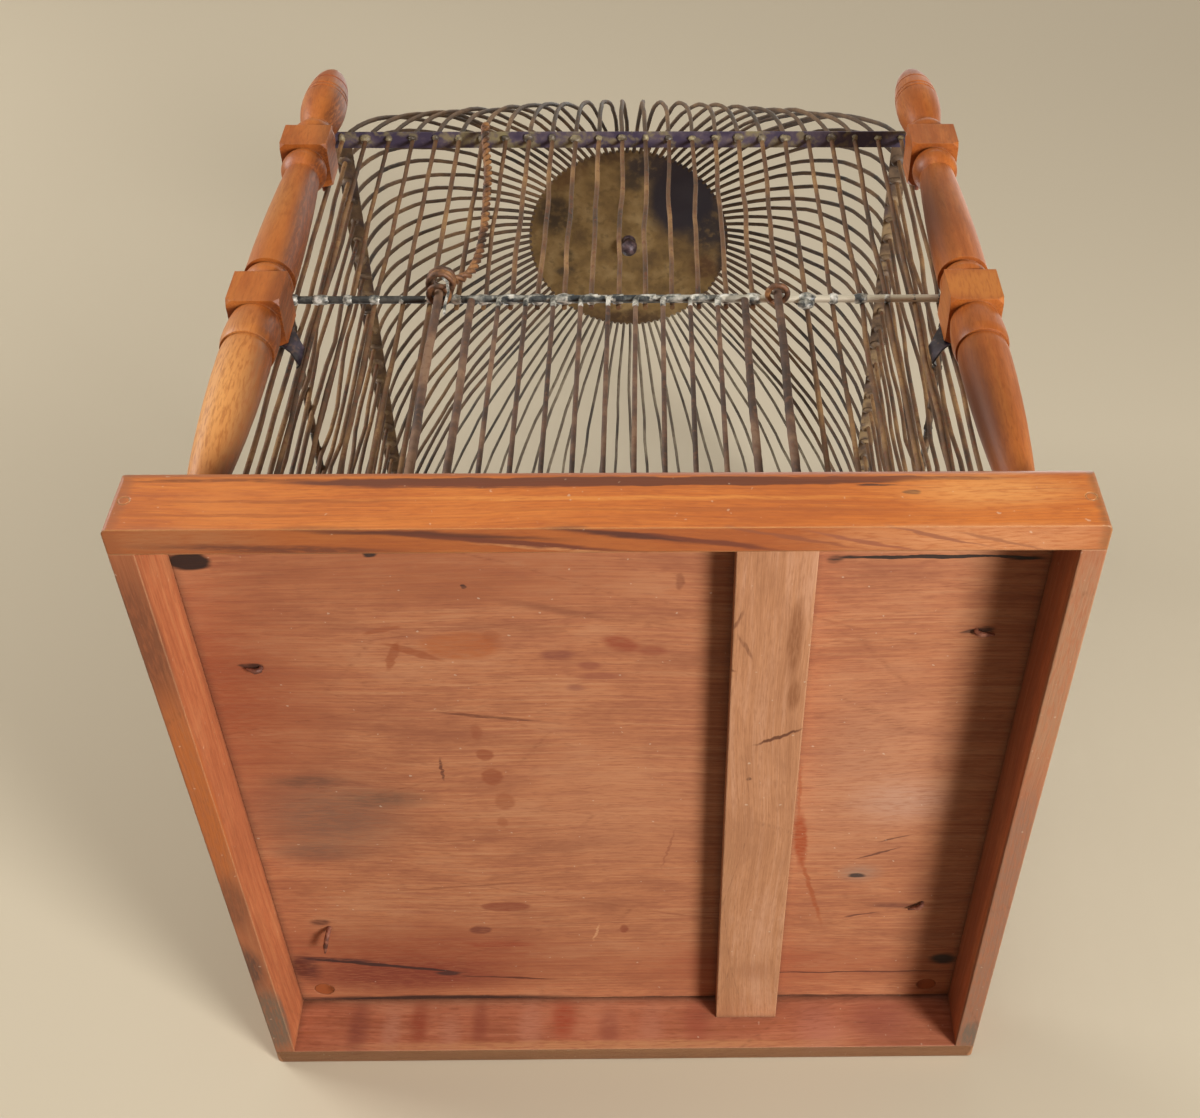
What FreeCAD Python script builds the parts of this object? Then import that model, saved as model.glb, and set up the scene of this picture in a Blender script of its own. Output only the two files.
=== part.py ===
import FreeCAD, Part

import math
import os

# Base frame: front and rear rails run the full width, side rails stand between them
base_width = 330.0
base_depth = 339.0
rail_height = 32.6
front_rail_thickness = 10.7
rear_rail_thickness = 9.2
side_rail_thickness = 8.6
rail_top_round = 7.0
rail_corner_round = 2.0

# Floor board, its batten and their nails
floor_thickness = 6.0
floor_rear_gap = 2.0
batten_width = 28.5
batten_thickness = 10.3
batten_centre_x = 57.5
nail_radius = 0.9
nail_head_radius = 1.9
nail_head_height = 0.6
nail_clearance = 0.1
rail_nail_length = 30.0
rail_nail_height = 14.8
batten_nail_length = 13.0
batten_nail_wall_inset = 9.0
batten_nail_count = 4
floor_nail_length = 14.0
floor_nail_inset = 3.0
left_floor_nails_y = (-76.0, 97.0)
right_floor_nails_y = (-94.0, 81.0)

# Turned corner posts, from the foot up
post_inset = 20.5
spigot_radius = 4.5
spigot_clearance = 0.15
foot_radius = 8.2
foot_height = 3.4
lower_column_length = 91.0
lower_column_foot_radius = 5.6
lower_column_bulge_radius = 10.3
lower_column_bulge_rise = 84.0
lower_column_top_radius = 9.7
cup_height = 20.3
cup_lip_radius = 10.6
cup_radius = 11.2
cup_bulge_rise = 4.6
cup_neck_radius = 9.8
block_width = 21.4
block_turned_radius = 13.4
block_turned_height = 2.0
mid_block_height = 21.7
collar_height = 10.0
collar_radius = 10.3
collar_neck_radius = 8.8
upper_column_length = 83.0
upper_column_foot_radius = 10.7
upper_column_top_radius = 7.9
top_collar_height = 12.4
top_collar_radius = 10.2
top_collar_neck_radius = 8.8
upper_block_height = 18.5
finial_ring_height = 12.0
finial_ring_radius = 9.9
finial_neck_radius = 7.0
finial_neck_height = 3.0
finial_bulb_rise = 22.0
finial_bulb_radius = 10.5
finial_tip_height = 36.0
finial_groove_depth = 0.8
finial_groove_rises = (4.5, 8.0, 17.0)

# Wire cage standing on the floor board, set in from the corner posts
wall_post_offset_x = 7.0
wall_post_gap_y = 4.8
gaps_per_wall = 24
wire_radius = 1.0
wire_socket_depth = 4.0
wire_socket_clearance = 0.12
solder_gap = 0.05

# Rods round the cage half way up, outside the wires
mid_bar_radius = 1.65
mid_bar_above_block = 14.5
mid_bar_overhang = 1.7
upper_wire_tail = 2.5

# Pierced tin strips round the cage under the dome
band_width = 8.3
band_thickness = 0.8
band_above_block = 34.7
band_hole_clearance = 0.15

# Dome wires and crown
dome_height = 125.3
dome_start_gap = 0.2
dome_bow_ratio = 0.155
crown_disc_radius = 60.5
crown_disc_thickness = 1.0
crown_notch_clearance = 0.3
crown_cap_radius = 57.0
crown_cap_thickness = 0.8
crown_cap_rise = 4.0
rivet_radius = 4.25
rivet_height = 3.4
hanger_shank_radius = 1.0
hanger_shank_clearance = 0.15
hanger_eye_radius = 3.2
hanger_eye_wire_radius = 1.2
hanger_eye_rise = 5.2

# Hanging ring, lying back on the crown
ring_radius = 18.0
ring_wire_radius = 1.5
ring_rest_degrees = 8.0

# Door that slides up in front of the cage, its widths counted in wire gaps
door_offset_steps = -0.35
door_plane_gap = 7.0
door_bottom_clearance = 2.0
door_rod_radius = 2.0
door_guide_steps = 6.23
door_side_steps = 5
door_wire_count = 9
door_rail_radius = 1.5
door_top_rail_drop = 6.0
door_guide_top_rise = 0.8
door_bottom_overhang = 2.0
runner_clearance = 0.7
runner_wire_radius = 1.0
open_wire_steps = 6

# Fixed eyes on the front bar that the door's guide rods pass through
eye_radius = 4.2
eye_wire_radius = 1.2

# Tie wire: a coil over the left eye and a twisted tail up to the front strip
coil_radius = 4.3
coil_wire_radius = 1.0
coil_pitch = 2.5
coil_turns = 3
coil_seat_gap = 0.1
tail_radius = 1.7
tail_bend_share = 0.45
tail_start_side = 5.8
tail_start_out = 4.4
tail_start_rise = 12.7
tail_end_steps = -5.85
tail_end_out = 6.7
tail_end_rise = 1.4

# The tail on its way up: wire gaps across, distance out from the wires, share of the rise to the strip
tail_turns = (
    (-5.6, 2.6, 0.139),
    (-5.385, 1.6, 0.267),
    (-5.36, 1.7, 0.448),
    (-5.445, 1.5, 0.628),
    (-5.55, 2.4, 0.795),
    (-5.78, 6.1, 0.92),
)

# Tin tabs and iron pins that hold the cage to the posts
tab_thickness = 0.8
tab_height = 20.0
tab_width = 11.3
tab_leg_length = 7.3
tab_wire_gap = 0.2
pin_radius = 1.2
pin_depth = 5.0
pin_reach = 7.0
pin_clearance = 0.1

# Places worked out from the sizes above
floor_top = rail_height
floor_bottom = floor_top - floor_thickness
inner_front = -base_depth / 2 + front_rail_thickness
inner_rear = base_depth / 2 - rear_rail_thickness
inner_side = base_width / 2 - side_rail_thickness
post_x = base_width / 2 - post_inset
post_y = base_depth / 2 - post_inset
block_back = post_y - block_width / 2
foot_top = floor_top + foot_height
cup_bottom = foot_top + lower_column_length
mid_block_bottom = cup_bottom + cup_height
mid_block_top = mid_block_bottom + mid_block_height
upper_column_bottom = mid_block_top + collar_height
upper_column_top = upper_column_bottom + upper_column_length
upper_block_bottom = upper_column_top + top_collar_height
upper_block_top = upper_block_bottom + upper_block_height
finial_ring_top = upper_block_top + finial_ring_height
finial_bulb_bottom = finial_ring_top + finial_neck_height
finial_bulb_middle = finial_bulb_bottom + finial_bulb_rise
wall_half_x = post_x - wall_post_offset_x
wall_half_y = block_back - wall_post_gap_y
pitch_x = 2 * wall_half_x / gaps_per_wall
pitch_y = 2 * wall_half_y / gaps_per_wall
half_gaps = gaps_per_wall // 2
wire_bottom = floor_top - wire_socket_depth
mid_bar_z = mid_block_top + mid_bar_above_block
mid_bar_offset = wire_radius + mid_bar_radius + solder_gap
band_bottom = upper_block_top + band_above_block
band_top = band_bottom + band_thickness
crown_middle = band_top + dome_height
crown_bottom = crown_middle - crown_disc_thickness / 2
crown_top = crown_middle + crown_disc_thickness / 2
cap_peak = crown_top + crown_cap_rise + crown_cap_thickness
hanger_eye_z = cap_peak + hanger_eye_rise
door_y = -wall_half_y - door_plane_gap
door_offset_x = door_offset_steps * pitch_x
door_guide_half_width = door_guide_steps * pitch_x
door_side_half_width = door_side_steps * pitch_x
door_bottom_z = floor_top + door_bottom_clearance + door_rail_radius
door_bar_top = door_bottom_z + door_rail_radius + solder_gap
door_top_z = mid_bar_z - door_top_rail_drop
runner_radius = wire_radius + runner_clearance + runner_wire_radius
eye_z = mid_bar_z - mid_bar_radius - eye_wire_radius - solder_gap
coil_bottom_z = mid_bar_z + mid_bar_radius + coil_wire_radius + coil_seat_gap
corners = ((-1, -1, "front_left"), (1, -1, "front_right"), (-1, 1, "rear_left"), (1, 1, "rear_right"))
up = FreeCAD.Vector(0, 0, 1)


def point(x, y, z):
    """Return a point in space."""
    return FreeCAD.Vector(x, y, z)


def box(low_x, high_x, low_y, high_y, low_z, high_z):
    """Return a box between its low and high sides."""
    return Part.makeBox(high_x - low_x, high_y - low_y, high_z - low_z, point(low_x, low_y, low_z))


def rod(start, end, radius):
    """Return a round rod from one point to another."""
    return Part.makeCylinder(radius, (end - start).Length, start, end - start)


def ring(centre, axis, radius, wire):
    """Return a closed ring of round wire."""
    return Part.makeTorus(radius, wire, centre, axis)


def line(start, end):
    """Return a straight edge between two (radius, height) points."""
    return Part.makeLine(point(start[0], 0, start[1]), point(end[0], 0, end[1]))


def swell(end, peak):
    """Return an arc from a (radius, height) point to a peak radius, upright at the peak."""
    depth = peak[0] - end[0]
    rise = end[1] - peak[1]
    radius = (depth * depth + rise * rise) / (2 * depth)
    half_angle = math.atan2(rise, radius - depth) / 2
    middle_r = peak[0] - radius + radius * math.cos(half_angle)
    middle_z = peak[1] + radius * math.sin(half_angle)
    middle = point(middle_r, 0, middle_z)
    return Part.Arc(point(end[0], 0, end[1]), middle, point(peak[0], 0, peak[1])).toShape()


def oval(side_r, side_z, tip_z):
    """Return a quarter oval from a (radius, height) point to a taller tip on the axis."""
    centre = point(0, 0, side_z)
    side = point(side_r, 0, side_z)
    tip = point(0, 0, tip_z)
    return Part.ArcOfEllipse(Part.Ellipse(tip, side, centre), 0, math.pi / 2).toShape()


def turned(edges):
    """Return the solid that a closed outline in the XZ plane sweeps about the Z axis."""
    outline = Part.Wire(Part.__sortEdges__(edges))
    return Part.Face(outline).revolve(point(0, 0, 0), up, 360)


def swept(path, radius):
    """Return a round tube along a path of lines and arcs, printing its volume against the path's length."""
    start_edge = path.OrderedEdges[0]
    start = start_edge.valueAt(start_edge.FirstParameter)
    heading = start_edge.tangentAt(start_edge.FirstParameter)
    section = Part.Wire([Part.makeCircle(radius, start, heading)])
    tube = Part.BRepOffsetAPI.MakePipeShell(path)
    tube.add(section)
    tube.build()
    tube.makeSolid()
    solid = tube.shape()
    print("tube volume share", round(solid.Volume / (math.pi * radius * radius * path.Length), 4))
    return solid


def base_envelope():
    """Return the outside of the base: a block with its top edges rounded over and its corners eased."""
    def rounded_slab(half, length, along_x):
        turn = rail_top_round * (1 - math.sqrt(0.5))
        spots = [
            (-half, 0), (-half, rail_height - rail_top_round),
            (-half + turn, rail_height - turn), (-half + rail_top_round, rail_height),
            (half - rail_top_round, rail_height), (half - turn, rail_height - turn),
            (half, rail_height - rail_top_round), (half, 0),
        ]
        if along_x:
            spots = [point(-length / 2, across, z) for across, z in spots]
            path = point(length, 0, 0)
        else:
            spots = [point(across, -length / 2, z) for across, z in spots]
            path = point(0, length, 0)
        edges = [
            Part.makeLine(spots[0], spots[1]),
            Part.Arc(spots[1], spots[2], spots[3]).toShape(),
            Part.makeLine(spots[3], spots[4]),
            Part.Arc(spots[4], spots[5], spots[6]).toShape(),
            Part.makeLine(spots[6], spots[7]),
            Part.makeLine(spots[7], spots[0]),
        ]
        return Part.Face(Part.Wire(edges)).extrude(path)

    plan = box(-base_width / 2, base_width / 2, -base_depth / 2, base_depth / 2, 0, rail_height)
    uprights = [edge for edge in plan.Edges if abs(edge.tangentAt(edge.FirstParameter).z) > 0.5]
    plan = plan.makeFillet(rail_corner_round, uprights)
    across = rounded_slab(base_width / 2, base_depth, False)
    along = rounded_slab(base_depth / 2, base_width, True)
    return plan.common(across).common(along)


def nail(tip, head):
    """Return a nail with its flat head at one end and its shank running to the tip."""
    back = (head - tip).normalize()
    shank = rod(tip, head, nail_radius)
    return shank.fuse(rod(head, head + back * nail_head_height, nail_head_radius)).removeSplitter()


def rail_nail_places():
    """Return tip and head of the nail through each end of the front and rear rails."""
    places = []
    for side_x, side_y, _ in corners:
        x = side_x * (base_width - side_rail_thickness) / 2
        outer = side_y * (base_depth / 2 - nail_head_height)
        tip = outer - side_y * rail_nail_length
        places.append((point(x, tip, rail_nail_height), point(x, outer, rail_nail_height)))
    return places


def batten_nail_places():
    """Return tip and head of the nails driven down through the floor into the batten."""
    reach = wall_half_y - batten_nail_wall_inset
    step = 2 * reach / (batten_nail_count - 1)
    spots = [step * index - reach for index in range(batten_nail_count)]
    low = floor_top - batten_nail_length
    return [(point(batten_centre_x, y, low), point(batten_centre_x, y, floor_top)) for y in spots]


def floor_nail_places():
    """Return tip and head of the nails through the floor beside the side walls."""
    x = wall_half_x - floor_nail_inset
    spots = [(-x, y) for y in left_floor_nails_y] + [(x, y) for y in right_floor_nails_y]
    low = floor_top - floor_nail_length
    return [(point(x, y, low), point(x, y, floor_top)) for x, y in spots]


def nail_holes(places):
    """Return the holes that a set of nails needs, heads included."""
    holes = []
    for tip, head in places:
        back = (head - tip).normalize()
        holes.append(rod(tip - back * nail_clearance, head, nail_radius + nail_clearance))
        clear_way = head + back * (nail_head_height + rail_height)
        holes.append(rod(head, clear_way, nail_head_radius + nail_clearance))
    return Part.makeCompound(holes)


def rails():
    """Return the four base rails by name."""
    envelope = base_envelope()
    half_x = base_width / 2
    half_y = base_depth / 2
    blanks = {
        "front_rail": box(-half_x, half_x, -half_y, inner_front, 0, rail_height),
        "rear_rail": box(-half_x, half_x, inner_rear, half_y, 0, rail_height),
        "left_rail": box(-half_x, -inner_side, inner_front, inner_rear, 0, rail_height),
        "right_rail": box(inner_side, half_x, inner_front, inner_rear, 0, rail_height),
    }
    holes = nail_holes(rail_nail_places())
    return {name: blank.common(envelope).cut(holes) for name, blank in blanks.items()}


def low_wall_places():
    """Return the places of the wires that stand on the floor, by wall."""
    walls = {"front": [], "rear": [], "left": [], "right": []}
    for step in range(-half_gaps, half_gaps + 1):
        if abs(step) > open_wire_steps:
            walls["front"].append((step * pitch_x, -wall_half_y))
        walls["rear"].append((step * pitch_x, wall_half_y))
        if abs(step) < half_gaps:
            walls["left"].append((-wall_half_x, step * pitch_y))
            walls["right"].append((wall_half_x, step * pitch_y))
    return walls


def floor_board():
    """Return the floor board with its sockets for wires and posts and its nail holes."""
    board = box(-inner_side, inner_side, inner_front, inner_rear - floor_rear_gap, floor_bottom, floor_top)
    holes = []
    for places in low_wall_places().values():
        for x, y in places:
            foot = point(x, y, wire_bottom)
            holes.append(rod(foot, foot + up * wire_socket_depth, wire_radius + wire_socket_clearance))
    for side_x, side_y, _ in corners:
        low = point(side_x * post_x, side_y * post_y, floor_bottom)
        holes.append(rod(low, low + up * floor_thickness, spigot_radius + spigot_clearance))
    for tip, head in batten_nail_places() + floor_nail_places():
        holes.append(rod(tip, head, nail_radius + nail_clearance))
    return board.cut(Part.makeCompound(holes))


def floor_batten():
    """Return the batten that runs front to rear under the floor board."""
    left = batten_centre_x - batten_width / 2
    low = floor_bottom - batten_thickness
    batten = box(left, left + batten_width, inner_front, inner_rear, low, floor_bottom)
    return batten.cut(nail_holes(batten_nail_places()))


def post_block(low, high):
    """Return a square block with its lower corners turned off."""
    half = block_width / 2
    reach = half * math.sqrt(2) + nail_clearance
    outline = [
        line((0, low), (block_turned_radius, low)),
        line((block_turned_radius, low), (reach, low + block_turned_height)),
        line((reach, low + block_turned_height), (reach, high)),
        line((reach, high), (0, high)),
        line((0, high), (0, low)),
    ]
    return box(-half, half, -half, half, low, high).common(turned(outline))


def post_turning():
    """Return the round turning of a post from its spigot to its finial."""
    bulge_z = foot_top + lower_column_bulge_rise
    cup_bulge_z = cup_bottom + cup_bulge_rise
    collar_z = mid_block_top + collar_height / 2
    top_collar_z = upper_column_top + top_collar_height / 2
    ring_z = upper_block_top + finial_ring_height / 2
    tip_z = finial_bulb_middle + finial_tip_height
    return turned([
        line((0, floor_bottom), (spigot_radius, floor_bottom)),
        line((spigot_radius, floor_bottom), (spigot_radius, floor_top)),
        line((spigot_radius, floor_top), (foot_radius, floor_top)),
        line((foot_radius, floor_top), (foot_radius, foot_top)),
        line((foot_radius, foot_top), (lower_column_foot_radius, foot_top)),
        swell((lower_column_foot_radius, foot_top), (lower_column_bulge_radius, bulge_z)),
        swell((lower_column_top_radius, cup_bottom), (lower_column_bulge_radius, bulge_z)),
        line((lower_column_top_radius, cup_bottom), (cup_lip_radius, cup_bottom)),
        swell((cup_lip_radius, cup_bottom), (cup_radius, cup_bulge_z)),
        swell((cup_neck_radius, mid_block_bottom), (cup_radius, cup_bulge_z)),
        line((cup_neck_radius, mid_block_bottom), (collar_neck_radius, mid_block_top)),
        swell((collar_neck_radius, mid_block_top), (collar_radius, collar_z)),
        swell((collar_neck_radius, upper_column_bottom), (collar_radius, collar_z)),
        line((collar_neck_radius, upper_column_bottom), (upper_column_foot_radius, upper_column_bottom)),
        swell((upper_column_top_radius, upper_column_top), (upper_column_foot_radius, upper_column_bottom)),
        swell((upper_column_top_radius, upper_column_top), (top_collar_radius, top_collar_z)),
        swell((top_collar_neck_radius, upper_block_bottom), (top_collar_radius, top_collar_z)),
        line((top_collar_neck_radius, upper_block_bottom), (top_collar_neck_radius, upper_block_top)),
        swell((top_collar_neck_radius, upper_block_top), (finial_ring_radius, ring_z)),
        swell((finial_neck_radius, finial_ring_top), (finial_ring_radius, ring_z)),
        line((finial_neck_radius, finial_ring_top), (finial_neck_radius, finial_bulb_bottom)),
        swell((finial_neck_radius, finial_bulb_bottom), (finial_bulb_radius, finial_bulb_middle)),
        oval(finial_bulb_radius, finial_bulb_middle, tip_z),
        line((0, tip_z), (0, floor_bottom)),
    ])


def finial_grooves():
    """Return the ring grooves cut round the finial's bulb."""
    grooves = []
    for rise in finial_groove_rises:
        tall = finial_tip_height if rise > 0 else finial_bulb_rise * 2
        surface = finial_bulb_radius * math.sqrt(1 - (rise / tall) ** 2)
        z = finial_bulb_middle + rise
        floor_r = surface - finial_groove_depth
        outer_r = surface + finial_groove_depth
        grooves.append(turned([
            line((floor_r, z), (outer_r, z - 2 * finial_groove_depth)),
            line((outer_r, z - 2 * finial_groove_depth), (outer_r, z + 2 * finial_groove_depth)),
            line((outer_r, z + 2 * finial_groove_depth), (floor_r, z)),
        ]))
    return Part.makeCompound(grooves)


def pin_ends(side_x, side_y):
    """Return the two ends of the pin from an upper block to its corner wire."""
    x = side_x * (wall_half_x + wire_radius + pin_clearance + pin_radius)
    z = (upper_block_bottom + upper_block_top) / 2
    return point(x, side_y * (block_back + pin_depth), z), point(x, side_y * (block_back - pin_reach), z)


def posts():
    """Return the four turned posts by name."""
    pattern = post_turning().fuse([
        post_block(mid_block_bottom, mid_block_top),
        post_block(upper_block_bottom, upper_block_top),
    ]).cut(finial_grooves())
    found = {}
    for side_x, side_y, name in corners:
        post = pattern.copy()
        post.translate(point(side_x * post_x, side_y * post_y, 0))
        inside, outside = pin_ends(side_x, side_y)
        found["post_" + name] = post.cut(rod(inside, outside, pin_radius + pin_clearance))
    return found


def upper_pins():
    """Return the iron pins from the upper blocks to the corner wires."""
    return Part.makeCompound([rod(*pin_ends(x, y), pin_radius) for x, y, _ in corners])


def mid_tabs():
    """Return the bent tin tabs from the middle blocks to the corner wires."""
    tabs = []
    low = (mid_block_bottom + mid_block_top - tab_height) / 2
    inner = wall_half_x + wire_radius + tab_wire_gap
    for side_x, side_y, _ in corners:
        across = sorted((side_x * inner, side_x * (inner + tab_width)))
        plate = sorted((side_y * block_back, side_y * (block_back - tab_thickness)))
        leg_x = sorted((side_x * inner, side_x * (inner + tab_thickness)))
        leg_y = sorted((side_y * block_back, side_y * (block_back - tab_leg_length)))
        face = box(*across, *plate, low, low + tab_height)
        tabs.append(face.fuse(box(*leg_x, *leg_y, low, low + tab_height)).removeSplitter())
    return Part.makeCompound(tabs)


def wall_wires():
    """Return the wires of each wall, and the short front wires over the doorway."""
    found = {}
    for wall, places in low_wall_places().items():
        found[wall + "_wall_wires"] = [
            rod(point(x, y, wire_bottom), point(x, y, band_top), wire_radius) for x, y in places
        ]
    low = mid_bar_z - upper_wire_tail
    short = [step * pitch_x for step in range(-open_wire_steps, open_wire_steps + 1)]
    found["front_upper_wires"] = [
        rod(point(x, -wall_half_y, low), point(x, -wall_half_y, band_top), wire_radius) for x in short
    ]
    return {name: Part.makeCompound(wires) for name, wires in found.items()}


def mid_bars():
    """Return the four rods round the cage at half height."""
    reach = wall_half_x + mid_bar_offset + mid_bar_overhang
    y = wall_half_y + mid_bar_offset
    x = wall_half_x + mid_bar_offset
    end = y - mid_bar_radius - solder_gap
    return {
        "mid_bar_front": rod(point(-reach, -y, mid_bar_z), point(reach, -y, mid_bar_z), mid_bar_radius),
        "mid_bar_rear": rod(point(-reach, y, mid_bar_z), point(reach, y, mid_bar_z), mid_bar_radius),
        "mid_bar_left": rod(point(-x, -end, mid_bar_z), point(-x, end, mid_bar_z), mid_bar_radius),
        "mid_bar_right": rod(point(x, -end, mid_bar_z), point(x, end, mid_bar_z), mid_bar_radius),
    }


def top_bands():
    """Return the four pierced strips that the wires are threaded through."""
    half = band_width / 2
    reach = wall_half_x + half
    end = wall_half_y - half
    strips = {
        "top_band_front": box(-reach, reach, -wall_half_y - half, -end, band_bottom, band_top),
        "top_band_rear": box(-reach, reach, end, wall_half_y + half, band_bottom, band_top),
        "top_band_left": box(-reach, -wall_half_x + half, -end, end, band_bottom, band_top),
        "top_band_right": box(wall_half_x - half, reach, -end, end, band_bottom, band_top),
    }
    spots = []
    for step in range(-half_gaps, half_gaps + 1):
        spots += [(step * pitch_x, -wall_half_y), (step * pitch_x, wall_half_y)]
        spots += [(-wall_half_x, step * pitch_y), (wall_half_x, step * pitch_y)]
    hole = wire_radius + band_hole_clearance
    holes = Part.makeCompound([rod(point(x, y, band_bottom), point(x, y, band_top), hole) for x, y in spots])
    return {name: strip.cut(holes) for name, strip in strips.items()}


def dome_wire(foot_x, foot_y, degrees):
    """Return one dome wire: an arc from its strip to the crown disc's rim at an angle about the axis."""
    foot = point(foot_x, foot_y, band_top + dome_start_gap)
    turn = math.radians(degrees)
    rim = point(crown_disc_radius * math.cos(turn), crown_disc_radius * math.sin(turn), crown_middle)
    chord = rim - foot
    level = point(chord.x, chord.y, 0)
    outward = up * level.Length - level.normalize() * chord.z
    middle = (foot + rim) * 0.5 + outward * dome_bow_ratio
    path = Part.Arc(foot, middle, rim).toShape()
    circle = path.Curve
    start = path.valueAt(path.FirstParameter)
    section = Part.Face(Part.Wire([Part.makeCircle(wire_radius, start, path.tangentAt(path.FirstParameter))]))
    return section.revolve(circle.Center, circle.Axis, math.degrees(path.Length / circle.Radius))


def dome_wires():
    """Return the dome wires of each side."""
    quarter = 45 / half_gaps
    front = []
    rear = []
    left = []
    right = []
    for step in range(-half_gaps, half_gaps + 1):
        front.append(dome_wire(step * pitch_x, -wall_half_y, -90 + step * quarter))
        rear.append(dome_wire(step * pitch_x, wall_half_y, 90 - step * quarter))
        if abs(step) < half_gaps:
            left.append(dome_wire(-wall_half_x, step * pitch_y, 180 - step * quarter))
            right.append(dome_wire(wall_half_x, step * pitch_y, step * quarter))
    sides = {"front": front, "rear": rear, "left": left, "right": right}
    return {side + "_dome_wires": Part.makeCompound(wires) for side, wires in sides.items()}


def crown_disc():
    """Return the crown disc with a notch in its rim for each dome wire."""
    low = point(0, 0, crown_bottom)
    disc = Part.makeCylinder(crown_disc_radius, crown_disc_thickness, low)
    notches = []
    for index in range(4 * gaps_per_wall):
        turn = 2 * math.pi * index / (4 * gaps_per_wall)
        spot = low + point(math.cos(turn), math.sin(turn), 0) * crown_disc_radius
        notches.append(Part.makeCylinder(wire_radius + crown_notch_clearance, crown_disc_thickness, spot))
    shank = Part.makeCylinder(hanger_shank_radius + hanger_shank_clearance, crown_disc_thickness, low)
    return disc.cut(Part.makeCompound(notches + [shank]))


def crown_cap():
    """Return the shallow spun cap over the disc."""
    hole = hanger_shank_radius + hanger_shank_clearance

    def skin(base):
        radius = (crown_cap_radius ** 2 + crown_cap_rise ** 2) / (2 * crown_cap_rise)
        centre = base + crown_cap_rise - radius
        half_r = (crown_cap_radius + hole) / 2
        ends = [(hole, centre + math.sqrt(radius ** 2 - hole ** 2)), (crown_cap_radius, base)]
        middle = point(half_r, 0, centre + math.sqrt(radius ** 2 - half_r ** 2))
        arc = Part.Arc(point(ends[0][0], 0, ends[0][1]), middle, point(ends[1][0], 0, ends[1][1])).toShape()
        return arc, ends

    lower, lower_ends = skin(crown_top)
    upper, upper_ends = skin(crown_top + crown_cap_thickness)
    return turned([lower, line(lower_ends[1], upper_ends[1]), upper, line(upper_ends[0], lower_ends[0])])


def crown_hanger():
    """Return the riveted hanger: a knob under the disc, a shank through it and an eye on top."""
    ball_radius = (rivet_radius ** 2 + rivet_height ** 2) / (2 * rivet_height)
    ball = Part.makeSphere(ball_radius, point(0, 0, crown_bottom - rivet_height + ball_radius))
    knob = ball.common(Part.makeCylinder(ball_radius, rivet_height, point(0, 0, crown_bottom - rivet_height)))
    shank_top = hanger_eye_z - hanger_eye_radius
    shank = rod(point(0, 0, crown_bottom), point(0, 0, shank_top), hanger_shank_radius)
    eye = ring(point(0, 0, hanger_eye_z), point(1, 0, 0), hanger_eye_radius, hanger_eye_wire_radius)
    return knob.fuse([shank, eye])


def hanging_ring():
    """Return the ring through the hanger's eye, lying back on the cap."""
    lean = math.radians(ring_rest_degrees)
    centre = point(0, ring_radius * math.cos(lean), hanger_eye_z - ring_radius * math.sin(lean))
    return ring(centre, point(0, math.sin(lean), math.cos(lean)), ring_radius, ring_wire_radius)


def door_pieces():
    """Return the pieces of the sliding door by name."""
    left_guide = door_offset_x - door_guide_half_width
    right_guide = door_offset_x + door_guide_half_width
    left_side = door_offset_x - door_side_half_width
    right_side = door_offset_x + door_side_half_width
    guide_top = mid_bar_z + door_guide_top_rise
    side_top = door_top_z - door_rail_radius - solder_gap
    runner_x = (open_wire_steps + 1) * pitch_x
    bar_reach = runner_x + door_bottom_overhang

    def upright(x, top, radius):
        return rod(point(x, door_y, door_bar_top), point(x, door_y, top), radius)

    def runner(x):
        hub = point(x, -wall_half_y, door_bottom_z)
        start = point(x, door_y + door_rail_radius + solder_gap, door_bottom_z)
        loop = ring(hub, up, runner_radius, runner_wire_radius)
        return loop.fuse(rod(start, hub - point(0, runner_radius, 0), runner_wire_radius))

    first = -(door_wire_count - 1) / 2
    spots = [door_offset_x + (first + index) * pitch_x for index in range(door_wire_count)]
    rail_start = point(left_side - door_rod_radius, door_y, door_top_z)
    rail_end = point(right_side + door_rod_radius, door_y, door_top_z)
    bar_start = point(-bar_reach, door_y, door_bottom_z)
    bar_end = point(bar_reach, door_y, door_bottom_z)
    return {
        "door_guide_rod_left": upright(left_guide, guide_top, door_rod_radius),
        "door_guide_rod_right": upright(right_guide, guide_top, door_rod_radius),
        "door_side_rod_left": upright(left_side, side_top, door_rod_radius),
        "door_side_rod_right": upright(right_side, side_top, door_rod_radius),
        "door_wires": Part.makeCompound([upright(x, side_top, wire_radius) for x in spots]),
        "door_top_rail": rod(rail_start, rail_end, door_rail_radius),
        "door_bottom_bar": rod(bar_start, bar_end, door_rail_radius),
        "door_runner_left": runner(-runner_x),
        "door_runner_right": runner(runner_x),
    }


def guide_eyes():
    """Return the two fixed eyes under the front bar."""
    left = point(door_offset_x - door_guide_half_width, door_y, eye_z)
    right = point(door_offset_x + door_guide_half_width, door_y, eye_z)
    return {
        "guide_eye_left": ring(left, up, eye_radius, eye_wire_radius),
        "guide_eye_right": ring(right, up, eye_radius, eye_wire_radius),
    }


def tangent_arc(start, corner, end):
    """Return the arc that leaves one point towards a corner and arrives at another from it."""
    middle = (start + end) * 0.5
    half_chord = (end - start).Length / 2
    height = (corner - middle).Length
    sagitta = half_chord * math.tan(math.atan2(height, half_chord) / 2)
    return Part.Arc(start, middle + (corner - middle) * (sagitta / height), end).toShape()


def biarc(start, start_way, end, end_way):
    """Return two tangent arcs between two points with given directions."""
    span = end - start
    both = start_way + end_way
    spread = 2 * (1 - start_way.dot(end_way))
    along = span.dot(both)
    reach = (math.sqrt(along * along + spread * span.dot(span)) - along) / spread
    first = start + start_way * reach
    second = end - end_way * reach
    joint = (first + second) * 0.5
    return [tangent_arc(start, first, joint), tangent_arc(joint, second, end)]


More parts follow.
